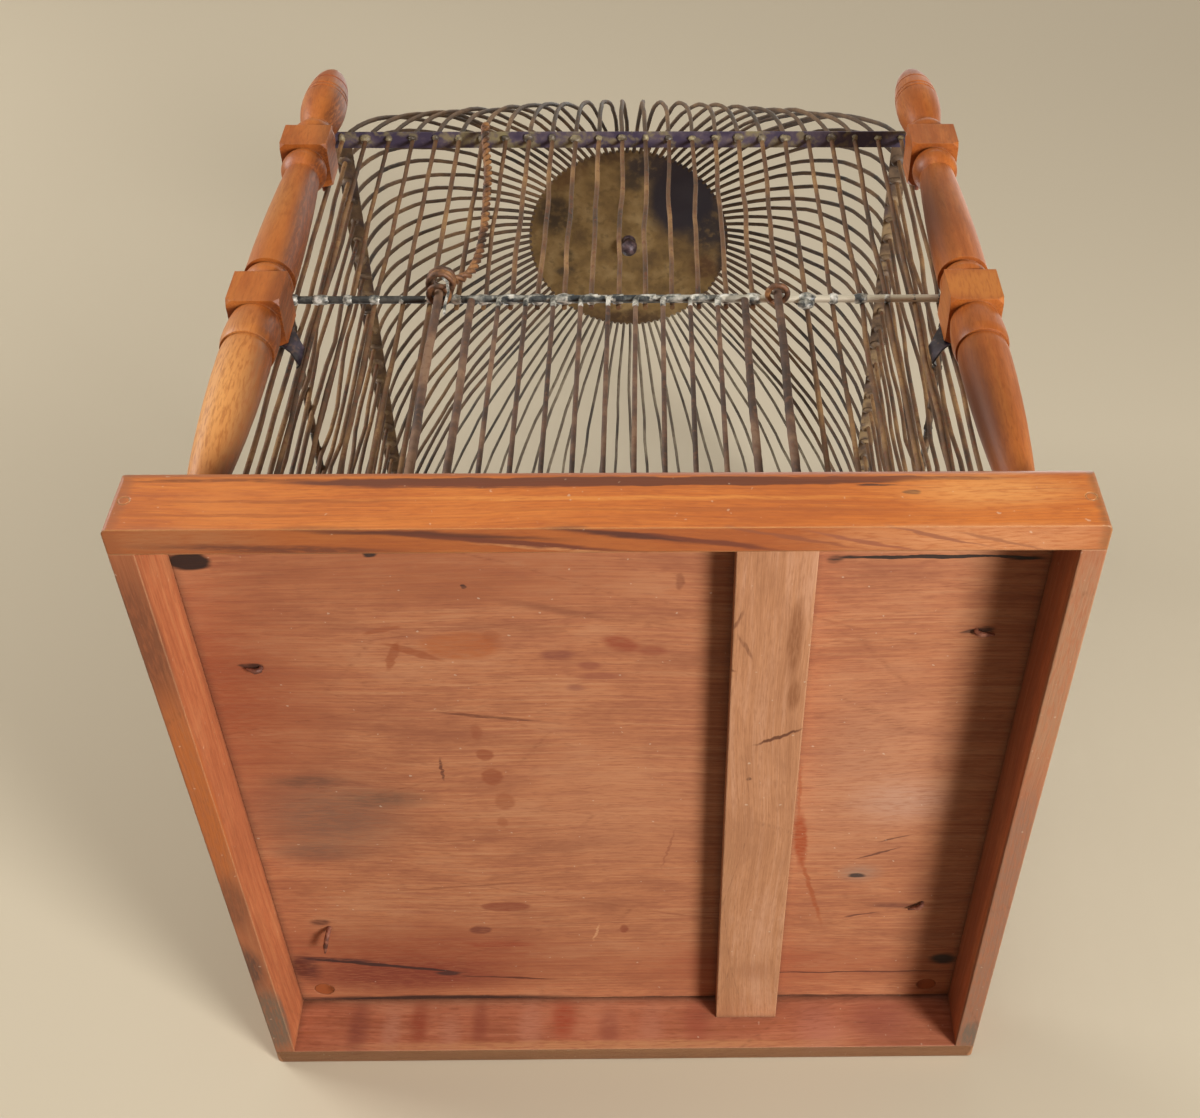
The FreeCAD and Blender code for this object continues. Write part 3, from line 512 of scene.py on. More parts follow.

# Bare thin floor board, red-brown with age, with damp stains, rubs and splits; its corners near black with
# painted shade and dirt, and the dark gap along the rear rail widened with painted shadow
FLOOR_BOARD_WOOD = OldWood(
    "Bare aged floor board", ("98583C", "B37149", "BE845C"), Axis.X, "8C5034", 0.7, "C08E68", 0.3,
    streak_mm=1.7, pore_mm=0.9, pore_depth=0.5, stretch=64, roughness=(0.6, 0.85), scratch="7A4026",
    # Near-black painted shade mixed with dirt in the corners of the recess
    corner=("1E0E08", 0.8),
    marks=face_marks(
        Axis.Z, BOARD_FACE, STAIN_REACH,
        (-150, -60, 60, 90, "8E4526", 0.75, 0.1),
        (-60, -125, 120, 30, "9A5531", 0.6, 0.1),
        (-96, 122, 110, 40, "8A3E22", 0.75, 0.2),
        (60, 130, 100, 30, "96492B", 0.6, 0.2),
        (104, -10, 46, 80, "BC8562", 0.6, 0.1),
        (0, 10, 60, 60, "BA7C55", 0.5, 0.1),
        (-122, 16, 46, 40, "7A5440", 0.8, 0.1),
        (-96, 4, 26, 9, "5E4434", 0.6, 0.1),
        (-128, -8, 24, 6, "54362A", 0.6, 0.1),
        (-134, 40, 26, 10, "68483A", 0.6, 0.1),
        (-22, -106, 30, 3, "824A30", 0.7, 0.2, 14),
        (-58, -87, 18, 9, "A0501F", 0.6, 0.6),
        (-46, -92, 5, 4, "8E441E", 0.5, 0.4),
        (-76, -84, 14, 2.2, "8E4622", 0.7, 0.6, 25),
        (-84, -82, 2.2, 10, "8E4622", 0.7, 0.6, 20),
        (-86, -96, 9, 1.4, "8E4622", 0.6, 0.6, -12),
        (-22, -82, 9, 4, "7E4230", 0.8, 0.4),
        (-10, -76, 6, 3, "864430", 0.7, 0.4),
        (2, -88, 10, 5, "8A3C22", 0.8, 0.4, 20),
        (14, -84, 7, 4, "8A4229", 0.7, 0.4),
        (-6, -70, 13, 2.2, "8A4A34", 0.7, 0.4),
        (-16, -64, 5, 3, "7E4638", 0.6, 0.3),
        (-56, -38, 3, 6, "8A4628", 0.6, 0.5),
        (-54, -24, 4, 4, "8A4424", 0.75, 0.7),
        (-52, -10, 5, 6, "8A4424", 0.75, 0.7),
        (-48, 6, 5, 7, "8E4A28", 0.6, 0.6),
        (-50, 20, 3, 5, "8E4A28", 0.5, 0.5),
        (-53, 82, 12, 4, "823E26", 0.8, 0.8),
        (-66, 100, 6, 4, "6A3020", 0.8, 0.7),
        (-58, 112, 20, 4, "8A3218", 0.5, 0.4),
        (-50, -47, 26, 1.2, "5E2E1C", 0.75, 0.5, 8),
        (-72, -15, 0.9, 9, "54281A", 0.85, 0.5),
        (77, 34, 3.6, 24, "98421A", 0.9, 0.5, -4),
        (84, 72, 1.5, 34, "984A22", 0.8, 0.4, -14),
        (74.6, 2, 0.9, 26, "A2542C", 0.7, 0.4, -2),
        (-150, -131, 9, 5, "1C0E0A", 0.97, 0.7),
        (-108, 138, 70, 20, "742E1E", 0.8, 0.2),
        (-150, 130, 9, 16, "4E2018", 0.8, 0.3),
        (-134, 124, 24, 2.6, "32161A", 0.9, 0.4, 6),
        (-112, 129, 44, 1.3, "3A1A14", 0.97, 0.6, 10),
        (-84, 136, 8, 2.2, "42201A", 0.95, 0.5),
        (-56, 140, 30, 0.8, "5A2A18", 0.95, 0.5, 5),
        # Dark gap along the rear rail, widened into a band of painted shadow
        (-92, 158, 90, 4.0, "2A120C", 0.95, 0.4),
        (60, 158.5, 110, 1.4, "3A1C12", 0.9, 0.4),
        (110, 137.6, 60, 0.8, "5E3020", 0.95, 0.6),
        (117, -131.6, 38, 0.9, "1E120C", 0.97, 0.8),
        (79, -130.6, 4, 2.4, "2A1810", 0.9, 0.3),
        (84, -131.4, 6, 1.2, "2A1810", 0.97, 0.3),
        (148, -130.8, 9, 1.5, "140C0A", 0.97, 0.3),
        (-86, -134, 3, 2.0, "32201A", 0.97, 0.5),
        (-138, -77, 6, 1.5, "3A1E14", 0.9, 0.6),
        (-138, 93, 6, 3.0, "4A2014", 0.85, 0.4),
        (135, -94, 8, 1.5, "2A1A16", 0.9, 0.6, -10),
        (104, 58, 14, 9, "8E7462", 0.6, 0.1),
        (103, 60, 5, 1.8, "3A2A24", 0.95, 0.5),
        (111, 44, 13, 0.8, "6A3C28", 0.95, 0.5, -25),
        (118, 33, 9, 0.7, "744630", 0.95, 0.5, -20),
        (122, 83, 16, 3.0, "6E3C2A", 0.8, 0.3),
        (108, 90, 10, 0.8, "6A3A26", 0.95, 0.5, -14),
        (118, 8, 30, 22, "BE9278", 0.6, 0.1),
        (150, 127, 9, 6, "1A0E0A", 0.97, 0.4),
        (-153, 130, 4, 9, "5A2414", 0.8, 0.5),
        (-54, -118, 1.3, 1.3, "3A2018", 0.9, 0.6),
        (24, -120, 2, 5, "7A4026", 0.7, 0.5),
        (-13, 103, 0.8, 9, "CE9468", 0.8, 0.4, 14),
        (0, 100, 2.4, 4, "7A3018", 0.7, 0.6),
        (-70, 66, 40, 0.8, "7E4428", 0.6, 0.5, -6),
        (20, 40, 0.7, 18, "8A4C30", 0.6, 0.5, 12),
        (30, 90, 26, 0.7, "8A4C30", 0.6, 0.5, 12),
    ),
)

# Bare batten, paler than the board, its grain front to rear
BATTEN_WOOD = OldWood(
    "Bare batten", ("A26C45", "B77F57", "C69270"), Axis.Y, "9C6845", 0.6, "CFA27A", 0.7,
    streak_mm=2.6, pore_mm=0.65, pore_depth=0.45, stretch=36, roughness=(0.6, 0.85), scratch="7E5034",
    marks=face_marks(
        Axis.Z, BATTEN_FACE, STAIN_REACH,
        (66, -100, 3.4, 28, "84502C", 0.8, 0.4),
        (67, -70, 3.4, 12, "84502C", 0.8, 0.4),
        (44, -108, 1.0, 10, "7E4E30", 0.9, 0.4, 20),
        (48, -96, 1.0, 9, "7E4E30", 0.9, 0.4, -24),
        (42, -84, 4, 0.9, "7E4E30", 0.9, 0.4, 16),
        (63, -46, 13, 1.2, "5E321A", 0.95, 0.5, -28),
        (46, 60, 3, 60, "A8754F", 0.5, 0.3),
        (52, -20, 1.2, 1.2, "5E3A24", 0.8, 0.6),
        (60, 120, 14, 12, "A06A48", 0.6, 0.2),
    ),
)

# Iron wire rusted over its whole length: brown, with old gilding left in places and black pits
RUSTY_WIRE = WeatheredMetal(
    "Rusty iron wire", ("3A2A1E", "6A4C32", "98744A"), "6E3C24", 0.65,
    patch_mm=34.0, fleck_mm=2.2, spread=(0.34, 0.66), metallic=0.15, roughness=(0.5, 0.75), relief_mm=0.35,
)

# The same wire at the front and sides of the dome: darker, the gilding gone
DARK_WIRE = WeatheredMetal(
    "Dark rusty iron wire", ("2E251E", "584432", "846648"), "5A3C28", 0.5,
    patch_mm=34.0, fleck_mm=3.0, spread=(0.36, 0.68), metallic=0.15, roughness=(0.5, 0.75), relief_mm=0.35,
)

# The rear of the dome: the same wire, painted greyer and paler
GREYER_WIRE = WeatheredMetal(
    "Greyer iron wire", ("3A332B", "665A4A", "8C806A"), "5A4634", 0.5,
    patch_mm=30.0, fleck_mm=3.0, spread=(0.36, 0.66), metallic=0.15, roughness=(0.55, 0.8), relief_mm=0.35,
)

# Door rods: thicker iron, purple-brown rust all over, rubbed lighter where hands lift it
DOOR_IRON = WeatheredMetal(
    "Brown rusted iron rod", ("3A2A22", "5C4436", "866850"), "6E4A34", 0.6,
    patch_mm=26.0, fleck_mm=2.5, metallic=0.15, roughness=(0.55, 0.8), relief_mm=0.3,
)

# Rod round the cage: dark slate oxide over tinned iron, with grey-white solder smeared along it
DARK_ROD = WeatheredMetal(
    "Tinned iron rod", ("25292C", "5A5C58", "A8A498"), "D2CDBE", 0.8,
    patch_mm=7.0, fleck_mm=4.0, spread=(0.42, 0.64), metallic=0.3, roughness=(0.35, 0.6),
    marks=(
        Mark((-105, -136, 183), (50, 30, 30), "2A2826", 0.9, 0.4),
        Mark((-70, -136, 183), (18, 30, 30), "1E1D1C", 0.8, 0.4),
        Mark((95, -136, 183), (64, 30, 30), "C6BCA6", 0.97, 0.5),
    ),
)

# Side and rear rods: the same tinned rod gone brown
BROWN_ROD = WeatheredMetal(
    "Rusty tinned rod", ("2C2620", "54402E", "7A6046"), "8E8470", 0.4,
    patch_mm=10.0, fleck_mm=4.0, metallic=0.25, roughness=(0.45, 0.7),
)

# Tin strip: purple-grey paint worn through to yellow-olive tin
STRIP_PAINT = WeatheredMetal(
    "Flaking paint on tin strip", ("3E3448", "584B56", "837655"), "8E8058", 0.6,
    patch_mm=16.0, fleck_mm=6.0, spread=(0.44, 0.64), metallic=0.1, roughness=(0.45, 0.7),
)

# Side and rear strips: the paint gone, brown rust with olive tin showing
STRIP_RUST = WeatheredMetal(
    "Rusty tin strip", ("48392C", "6C5640", "8E7654"), "40343E", 0.5,
    patch_mm=14.0, fleck_mm=6.0, metallic=0.15, roughness=(0.5, 0.75),
)

# Folded tin tabs, almost black with old glossy paint
TAB_TIN = WeatheredMetal(
    "Old paint on folded tin", ("1E1822", "302834", "54485A"), "6A5040", 0.5,
    patch_mm=10.0, spread=(0.45, 0.72), metallic=0.1, roughness=(0.25, 0.5),
)

# Crown disc: lacquered brass gone olive, black-violet where the lacquer was lost
CROWN_BRASS = WeatheredMetal(
    "Tarnished brass sheet", ("665033", "84693F", "9C8256"), "5E4A2E", 0.5,
    patch_mm=18.0, fleck_mm=4.0, spread=(0.34, 0.66), metallic=0.2, roughness=(0.4, 0.65),
    marks=face_marks(
        Axis.Z, DISC_FACE, STAIN_REACH,
        (33, -32, 26, 36, "211D28", 0.97, 0.6, 15),
        (48, -12, 22, 26, "26222A", 0.9, 0.4),
        (16, -50, 24, 13, "2A2228", 0.9, 0.5),
        (-14, -56, 26, 7, "4A3420", 0.8, 0.3, -10),
        (2, -41, 9, 10, "3A3028", 0.8, 0.4),
        (-44, -19, 16, 18, "33281F", 0.85, 0.4),
        (-38, 10, 6, 5, "453825", 0.75, 0.4),
        (-39, 21, 9, 4, "40352A", 0.8, 0.4),
        (47, 18, 13, 12, "4E2E1E", 0.75, 0.3),
        (58, 6, 6, 26, "2A2226", 0.8, 0.4),
        (0, 57, 36, 9, "3E281C", 0.8, 0.4),
        (-34, -44, 18, 9, "5A3A20", 0.6, 0.3, -40),
    ),
)

# The hanger's knob: iron under old violet lacquer
KNOB_LACQUER = WeatheredMetal(
    "Dark lacquered iron knob", ("2A2028", "43343A", "6A565A"), "5A4440", 0.4,
    patch_mm=5.0, metallic=0.2, roughness=(0.3, 0.5),
)

# Tie wire: soft iron, twisted by hand, dark rust with gold-brown wear
TIE_IRON = WeatheredMetal(
    "Rusty tie wire", ("3A281C", "6A452C", "9A6C40"), "5A3A26", 0.5,
    patch_mm=9.0, metallic=0.2, roughness=(0.45, 0.7), relief_mm=0.25,
)

# Cut nails: red-brown rust, rubbed lighter where they were hammered
NAIL_IRON = WeatheredMetal(
    "Rusty cut nail", ("4A2A20", "7C4632", "A86E54"), "6A3A28", 0.5,
    patch_mm=6.0, metallic=0.2, roughness=(0.5, 0.8),
)

# Soft solder: dull grey-white drops and smears
SOLDER = WeatheredMetal(
    "Old soft solder", ("3C3E3E", "98958A", "DEDACE"), "3A3A38", 0.6,
    patch_mm=4.0, fleck_mm=3.0, metallic=0.25, roughness=(0.35, 0.6), relief_mm=0.3,
)

# Solder under yellowed paint where the wires pass the strip
STRIP_DROP = WeatheredMetal(
    "Yellowed solder", ("4E4438", "756850", "A0926C"), "42383E", 0.6,
    patch_mm=9.0, metallic=0.15, roughness=(0.4, 0.65),
)


def dress(material: Material, *names: str) -> None:
    """Put a material on CAD nodes.

    Args:
        material: the finish.
        names: the nodes.
    """
    for name in names:
        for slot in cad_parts[name].material_slots:
            slot.material = material
        log.info("dressed %s in %s", name, material.name)


def take(piece: Object) -> None:
    """Select one object alone and make it the active one."""
    bpy.ops.object.select_all(action="DESELECT")
    piece.select_set(True)
    bpy.context.view_layer.objects.active = piece


@contextmanager
def editing(select: str = "SELECT") -> Iterator[None]:
    """Edit the active mesh.

    Args:
        select: how the selection starts; an empty text keeps it as it is.
    """
    bpy.ops.object.mode_set(mode="EDIT")
    if select:
        bpy.ops.mesh.select_all(action=select)
    yield
    bpy.ops.object.mode_set(mode="OBJECT")


def pick(piece: Object, wanted: Callable[[Vector], bool]) -> None:
    """Select some vertices of the active mesh and no others.

    Args:
        piece: the active object.
        wanted: says of a place whether its vertex is selected.
    """
    bpy.ops.object.mode_set(mode="EDIT")
    bpy.ops.mesh.select_all(action="DESELECT")
    bpy.ops.object.mode_set(mode="OBJECT")
    for vertex in piece.data.vertices:
        vertex.select = wanted(vertex.co)


def add_lumps(piece: Object, name: str, size_mm: float, depth_mm: float, **settings) -> None:
    """Ready a piece for lumps, dents or bends in a cloudy pattern.

    Args:
        piece: what gets them.
        name: the modifier's name.
        size_mm: the pattern's size.
        depth_mm: the modifier's strength.
        settings: the modifier's other settings.
    """
    lumps = piece.modifiers.new(name, "DISPLACE")
    lumps.texture = bpy.data.textures.new(name, "CLOUDS")
    lumps.texture.noise_scale = size_mm * MM
    lumps.strength = depth_mm * MM
    for setting, value in settings.items():
        setattr(lumps, setting, value)


def apply_all(piece: Object) -> None:
    """Apply a piece's modifiers in their order."""
    take(piece)
    for modifier in list(piece.modifiers):
        bpy.ops.object.modifier_apply(modifier=modifier.name)


def vary(at: int, least: float, spread: float, rate: float, phase: float = 0.0) -> float:
    """Return a size that differs from copy to copy and is the same in each run.

    Args:
        at: the copy's number.
        least: the smallest size.
        spread: how much larger the largest is.
        rate: how fast the size changes.
        phase: where it starts.
    Returns:
        The copy's size.
    """
    return least + spread * abs(math.sin(rate * at + phase))


def draw_path(name: str, spots: list[Vector]) -> Object:
    """Draw a chain of edges by extruding one point from spot to spot.

    Args:
        name: the new object's name.
        spots: the places that the chain runs through.
    Returns:
        The chain.
    """
    bpy.ops.object.select_all(action="DESELECT")
    bpy.ops.mesh.primitive_plane_add(size=MM)
    path = bpy.context.object
    path.name = name
    with editing():
        bpy.ops.mesh.merge(type="CENTER")
        bpy.ops.transform.translate(value=spots[0])
        for before, after in zip(spots, spots[1:]):
            bpy.ops.mesh.extrude_vertices_move(TRANSFORM_OT_translate={"value": after - before})
    return path


def copy_of(piece: Object, place: Matrix) -> Object:
    """Copy a piece with its own mesh.

    Args:
        piece: what is copied.
        place: how the copy's mesh is moved.
    Returns:
        The copy.
    """
    copy = piece.copy()
    copy.data = piece.data.copy()
    copy.data.transform(place)
    bpy.context.scene.collection.objects.link(copy)
    return copy


def join(pieces: list[Object], name: str) -> Object:
    """Join pieces into one object.

    Args:
        pieces: what is joined.
        name: the joined object's name.
    Returns:
        The joined object.
    """
    take(pieces[0])
    for piece in pieces:
        piece.select_set(True)
    if len(pieces) > 1:
        bpy.ops.object.join()
    pieces[0].name = name
    return pieces[0]


def round_wire(path: Object, radius_mm: float, fineness: int = 1) -> Object:
    """Give chains of edges a round section.

    Args:
        path: the chains.
        radius_mm: the wire's radius.
        fineness: how round the section is.
    Returns:
        The wire as a mesh.
    """
    take(path)
    bpy.ops.object.convert(target="CURVE")
    curve = bpy.context.object.data
    curve.bevel_depth = radius_mm * MM
    curve.bevel_resolution = fineness
    curve.use_fill_caps = True
    bpy.ops.object.convert(target="MESH")
    bpy.ops.object.shade_smooth()
    return bpy.context.object


def blobs(name: str, spots: list[Vector], half_mm: tuple[float, float, float]) -> Object:
    """Model one lumpy drop and copy it in differing sizes.

    Args:
        name: the joined drops' name.
        spots: where the drops sit, in millimetres.
        half_mm: the drop's half sizes.
    Returns:
        The joined drops.
    """
    bpy.ops.object.select_all(action="DESELECT")
    bpy.ops.mesh.primitive_uv_sphere_add(segments=10, ring_count=6, radius=1)
    drop = bpy.context.object
    with editing():
        bpy.ops.transform.resize(value=Vector(half_mm) * MM)
    add_lumps(drop, "lump", size_mm=1.6, depth_mm=0.9)
    apply_all(drop)
    bpy.ops.object.shade_smooth()
    copies = []
    for at, spot in enumerate(spots):
        size = Matrix.Scale(vary(at, 0.78, 0.4, 12.9, 1.7), 4)
        length = Matrix.Diagonal((vary(at, 0.7, 0.6, 7.7), 1, 1, 1))
        turn = Matrix.Rotation(2.4 * at, 4, "X")
        copies.append(copy_of(drop, Matrix.Translation(spot * MM) @ turn @ length @ size))
    bpy.data.objects.remove(drop)
    return join(copies, name)


def settle(piece: Object, body: Body, slot: str, material: Material, *nodes: str) -> None:
    """Finish a piece: its material, its body and the nodes that it stands for.

    Args:
        piece: the finished mesh.
        body: what it moves with.
        slot: the record's material slot; not used.
        material: its finish.
        nodes: the CAD nodes that it replaces.
    """
    piece.data.materials.clear()
    piece.data.materials.append(material)
    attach(piece, body.value)
    if nodes:
        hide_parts(*nodes)
    log.info("built %s: %d faces in %s", piece.name, len(piece.data.polygons), material.name)


@dataclass
class BaseFrame:
    """Rails, floor board, batten and nails."""

    nail_radius: float = 1.15
    tip_reach: float = 1.3
    tip_size: float = 0.35
    clinched: tuple[tuple[tuple[float, float, float], ...], ...] = (
        ((-134.5, -76, 29), (-134.5, -76, 25.2), (-136.2, -76.2, 24.4), (-139.6, -76.6, 25.4)),
        ((-134.5, 97, 29), (-134.5, 97, 24.0), (-135.2, 99, 21.6), (-136.4, 104, 20.6), (-137, 108, 20.2)),
        ((134.5, -94, 29), (134.5, -94, 25.4), (136.6, -93.6, 24.6), (141.5, -92.6, 25.6)),
        ((134.5, 81, 29), (134.5, 81, 25.2), (133, 82, 24.4), (128.5, 84.4, 25.4)),
    )

    def build(self) -> None:
        """Model the nails whose tips were hammered over under the floor."""
        nails = []
        reach = self.tip_reach * self.nail_radius * MM
        for spots in self.clinched:
            path = draw_path("nail", [Vector(spot) * MM for spot in spots])
            nail = round_wire(path, self.nail_radius, 2)
            tip = Vector(spots[-1]) * MM
            pick(nail, lambda spot: (spot - tip).length < reach)
            with editing(""):
                bpy.ops.transform.resize(value=(self.tip_size,) * 3, center_override=tip)
            nails.append(nail)
        settle(join(nails, "clinched_nails"), Body.CAGE, "nail_iron", NAIL_IRON.build(), "floor_nails")

    def dress(self) -> None:
        """Give each wooden piece its grain and each nail its rust."""
        dress(FRONT_RAIL_VARNISH.build(), "front_rail", "rail_nails")
        dress(REAR_RAIL_VARNISH.build(), "rear_rail")
        dress(SIDE_RAIL_VARNISH.build(), "left_rail", "right_rail")
        dress(FLOOR_BOARD_WOOD.build(), "floor_board")
        dress(BATTEN_WOOD.build(), "floor_batten")
        dress(NAIL_IRON.build(), "batten_nails", "upper_pins")


@dataclass
class CornerPosts:
    """The four turned posts and the tin straps that tie the cage to them."""

    places: tuple[str, ...] = ("front_left", "front_right", "rear_left", "rear_right")
    strap_low: float = 148.15
    strap_height: float = 20.0
    strap_thickness: float = 0.8
    strap_route: tuple[tuple[float, float], ...] = (
        (150.0, 137.9), (144.0, 137.9), (139.6, 137.9), (136.0, 137.7), (132.6, 137.0), (129.8, 135.4),
        (128.8, 133.0), (130.4, 131.0),
    )
    strap_rows: int = 3
    tongue_from: float = 141.0
    tongue_length: float = 11.0
    tongue_taper: float = 0.4
    tongue_drop: float = 11.0
    dent_size: float = 9.0
    dent_depth: float = 0.9
    crease: float = 40.0

    def build(self) -> None:
        """Fold the straps round the cage's corner wires."""
        spots = [Vector((x, y, self.strap_low)) * MM for x, y in self.strap_route]
        strap = draw_path("strap", spots)
        take(strap)
        lift = Vector((0, 0, self.strap_height / self.strap_rows * MM))
        with editing():
            for row in range(self.strap_rows):
                bpy.ops.mesh.extrude_region_move(TRANSFORM_OT_translate={"value": lift})
        # The free end narrows to a tongue that hangs down
        middle = (self.strap_low + self.strap_height / 2) * MM
        for vertex in strap.data.vertices:
            reach = (self.tongue_from * MM - vertex.co.x) / (self.tongue_length * MM)
            reach = max(0.0, min(1.0, reach))
            drop = self.tongue_drop * MM * reach * reach
            vertex.co.z = middle - drop + (vertex.co.z - middle) * (1 - self.tongue_taper * reach)
        add_lumps(strap, "dent", self.dent_size, self.dent_depth, direction="Y")
        wall = strap.modifiers.new("thickness", "SOLIDIFY")
        wall.thickness = self.strap_thickness * MM
        wall.offset = 0
        apply_all(strap)
        straps = [strap]
        for side_x, side_y in ((-1, 1), (1, -1), (-1, -1)):
            straps.append(copy_of(strap, Matrix.Diagonal((side_x, side_y, 1, 1))))
        joined = join(straps, "tin_straps")
        with editing():
            bpy.ops.mesh.normals_make_consistent(inside=False)
        bpy.ops.object.shade_smooth_by_angle(angle=math.radians(self.crease))
        settle(joined, Body.CAGE, "tab_tin", TAB_TIN.build(), "mid_tabs")

    def dress(self) -> None:
        """Varnish the posts."""
        dress(POST_VARNISH.build(), *("post_" + place for place in self.places))


@dataclass
class WireCage:
    """Wall wires, dome wires, rods, strips and the solder that joins them."""

    half_x: float = 137.5
    half_y: float = 133.5
    gaps: int = 24
    open_steps: int = 6
    foot: float = 28.6
    over_door: float = 181.0
    strip_top: float = 328.4
    bar_z: float = 183.5
    bar_offset: float = 2.7
    radius: float = 1.12
    rear_dome_radius: float = 0.92
    dome_foot: float = 328.6
    rim: float = 59.4
    rim_z: float = 453.7
    bow: float = 0.155
    chord: float = 165.0
    wall_steps: int = 16
    dome_steps: int = 18
    front_sway: float = 1.3
    side_sway: float = 2.6
    dome_sway: float = 2.6
    runway_sway: float = 0.065
    bend_sizes: tuple[tuple[str, float], ...] = (("X", 55), ("Y", 73))
    bend_gain: float = 3.0
    bend_shift: tuple[float, float, float] = (0.37, 0.23, 0.11)
    drop_sink: float = 1.1
    strip_out: float = 1.2
    stray_drop: tuple[float, float, float] = (79.5, 0.4, -3.6)

    def wall_spots(self) -> dict[str, list[tuple[float, float]]]:
        """Return where the wires of each wall stand."""
        half = self.gaps // 2
        along = range(-half, half + 1)
        step_x, step_y = self.half_x / half, self.half_y / half
        return {
            "front_wall_wires": [(i * step_x, -self.half_y) for i in along if abs(i) > self.open_steps],
            "front_upper_wires": [(i * step_x, -self.half_y) for i in along if abs(i) <= self.open_steps],
            "rear_wall_wires": [(i * step_x, self.half_y) for i in along],
            "left_wall_wires": [(-self.half_x, j * step_y) for j in along if abs(j) < half],
            "right_wall_wires": [(self.half_x, j * step_y) for j in along if abs(j) < half],
        }

    def bendable(self, path: Object, sway_mm: float) -> Object:
        """Ready a chain of edges for hand bends that fade out at its ends.

        Args:
            path: the chain.
            sway_mm: how far a bend goes.
        Returns:
            The chain with its bends waiting.
        """
        free = path.vertex_groups.new(name="free")
        last = len(path.data.vertices) - 1
        for at in range(last + 1):
            free.add([at], math.sin(math.pi * at / last), "REPLACE")
        for axis, size in self.bend_sizes:
            add_lumps(path, "bend_" + axis, size, self.bend_gain * sway_mm,
                      texture_coords="LOCAL", direction=axis, vertex_group="free")
        return path

    def hand_bent(self, pattern: Object, place: Matrix, number: int) -> Object:
        """Copy a chain, bend the copy in its own way and put it in place.

        Args:
            pattern: the chain with its bends waiting.
            place: where the copy goes.
            number: the copy's number, which picks its bends.
        Returns:
            The bent copy.
        """
        aside = Matrix.Translation([shift * number for shift in self.bend_shift])
        wire = copy_of(pattern, aside)
        apply_all(wire)
        wire.data.transform(place @ aside.inverted())
        return wire

    def straight(self, low: float, sway_mm: float) -> Object:
        """Draw a straight upright chain from a height up to the strip, ready to be bent.

        Args:
            low: its lower end.
            sway_mm: how far its bends go.
        Returns:
            The chain.
        """
        rise = self.strip_top - low
        heights = [low + rise * at / self.wall_steps for at in range(self.wall_steps + 1)]
        path = draw_path("upright", [Vector((0, 0, height)) * MM for height in heights])
        return self.bendable(path, sway_mm)

    def arc(self) -> Object:
        """Return a dome wire's arc on a standard chord along X, ready to be bent."""
        radius = (0.25 + self.bow ** 2) / (2 * self.bow) * self.chord
        middle = Vector((self.chord / 2, 0, self.bow * self.chord - radius)) * MM
        path = draw_path("arc", [Vector((0, 0, 0))])
        take(path)
        sweep = 2 * math.asin(self.chord / 2 / radius)
        with editing():
            bpy.ops.mesh.spin(steps=self.dome_steps, angle=sweep, center=middle, axis=(0, -1, 0))
        return self.bendable(path, self.dome_sway)

    def dome_place(self, foot: Vector, degrees: float) -> Matrix:
        """Work out where a dome wire's arc goes.

        Args:
            foot: where the wire leaves the strip.
            degrees: where it meets the crown's rim.
        Returns:
            The move from the standard chord.
        """
        turn = math.radians(degrees)
        rim = Vector((self.rim * math.cos(turn), self.rim * math.sin(turn), self.rim_z)) * MM
        chord = rim - foot
        along = chord.normalized()
        level = Vector((along.x, along.y, 0)).normalized()
        outward = (Vector((0, 0, 1)) * level.dot(along) - level * along.z).normalized()
        scale = chord.length / (self.chord * MM)
        turned = Matrix((along, outward.cross(along), outward)).transposed()
        return Matrix.Translation(foot) @ (turned * scale).to_4x4()

    def build(self) -> None:
        """Bend every wire and drop the solder."""
        number = self.walls()
        self.dome(number)
        self.solder()

    def walls(self) -> int:
        """Bend the wires of the walls.

        Returns:
            How many wires they have.
        """
        gilt = RUSTY_WIRE.build()
        patterns = {
            "front_wall_wires": self.straight(self.foot, self.front_sway),
            "front_upper_wires": self.straight(self.over_door, self.front_sway),
            "rear_wall_wires": self.straight(self.foot, self.side_sway),
        }
        runway = self.straight(self.foot, self.runway_sway)
        door_edge = (self.open_steps + 1.5) * self.half_x * 2 / self.gaps
        number = 0
        for name, spots in self.wall_spots().items():
            pattern = patterns.get(name, patterns["rear_wall_wires"])
            wires = []
            for x, y in spots:
                number += 1
                # The wires that the door's runners ride on stay straight
                rides = name == "front_wall_wires" and abs(x) < door_edge
                place = Matrix.Translation(Vector((x, y, 0)) * MM)
                wires.append(self.hand_bent(runway if rides else pattern, place, number))
            wall = round_wire(join(wires, "bent_" + name), self.radius)
            settle(wall, Body.CAGE, "rusty_wire", gilt, name)
        for spare in (*patterns.values(), runway):
            bpy.data.objects.remove(spare)
        return number

    def dome(self, number: int) -> None:
        """Bend the wires of the dome.

        Args:
            number: how many wires are bent already.
        """
        dark, greyer = DARK_WIRE.build(), GREYER_WIRE.build()
        arc = self.arc()
        half = self.gaps // 2
        quarter = 45 / half
        feet = {
            "front": lambda i: ((i * self.half_x / half, -self.half_y), -90 + i * quarter),
            "rear": lambda i: ((i * self.half_x / half, self.half_y), 90 - i * quarter),
            "left": lambda i: ((-self.half_x, i * self.half_y / half), 180 - i * quarter),
            "right": lambda i: ((self.half_x, i * self.half_y / half), i * quarter),
        }
        for side, foot_of in feet.items():
            wires = []
            last = half if side in ("front", "rear") else half - 1
            for i in range(-last, last + 1):
                number += 1
                (x, y), degrees = foot_of(i)
                place = self.dome_place(Vector((x, y, self.dome_foot)) * MM, degrees)
                wires.append(self.hand_bent(arc, place, number))
            rear = side == "rear"
            radius = self.rear_dome_radius if rear else self.radius
            dome = round_wire(join(wires, "bent_" + side + "_dome_wires"), radius)
            settle(dome, Body.CAGE, "rusty_wire", greyer if rear else dark, side + "_dome_wires")
        bpy.data.objects.remove(arc)

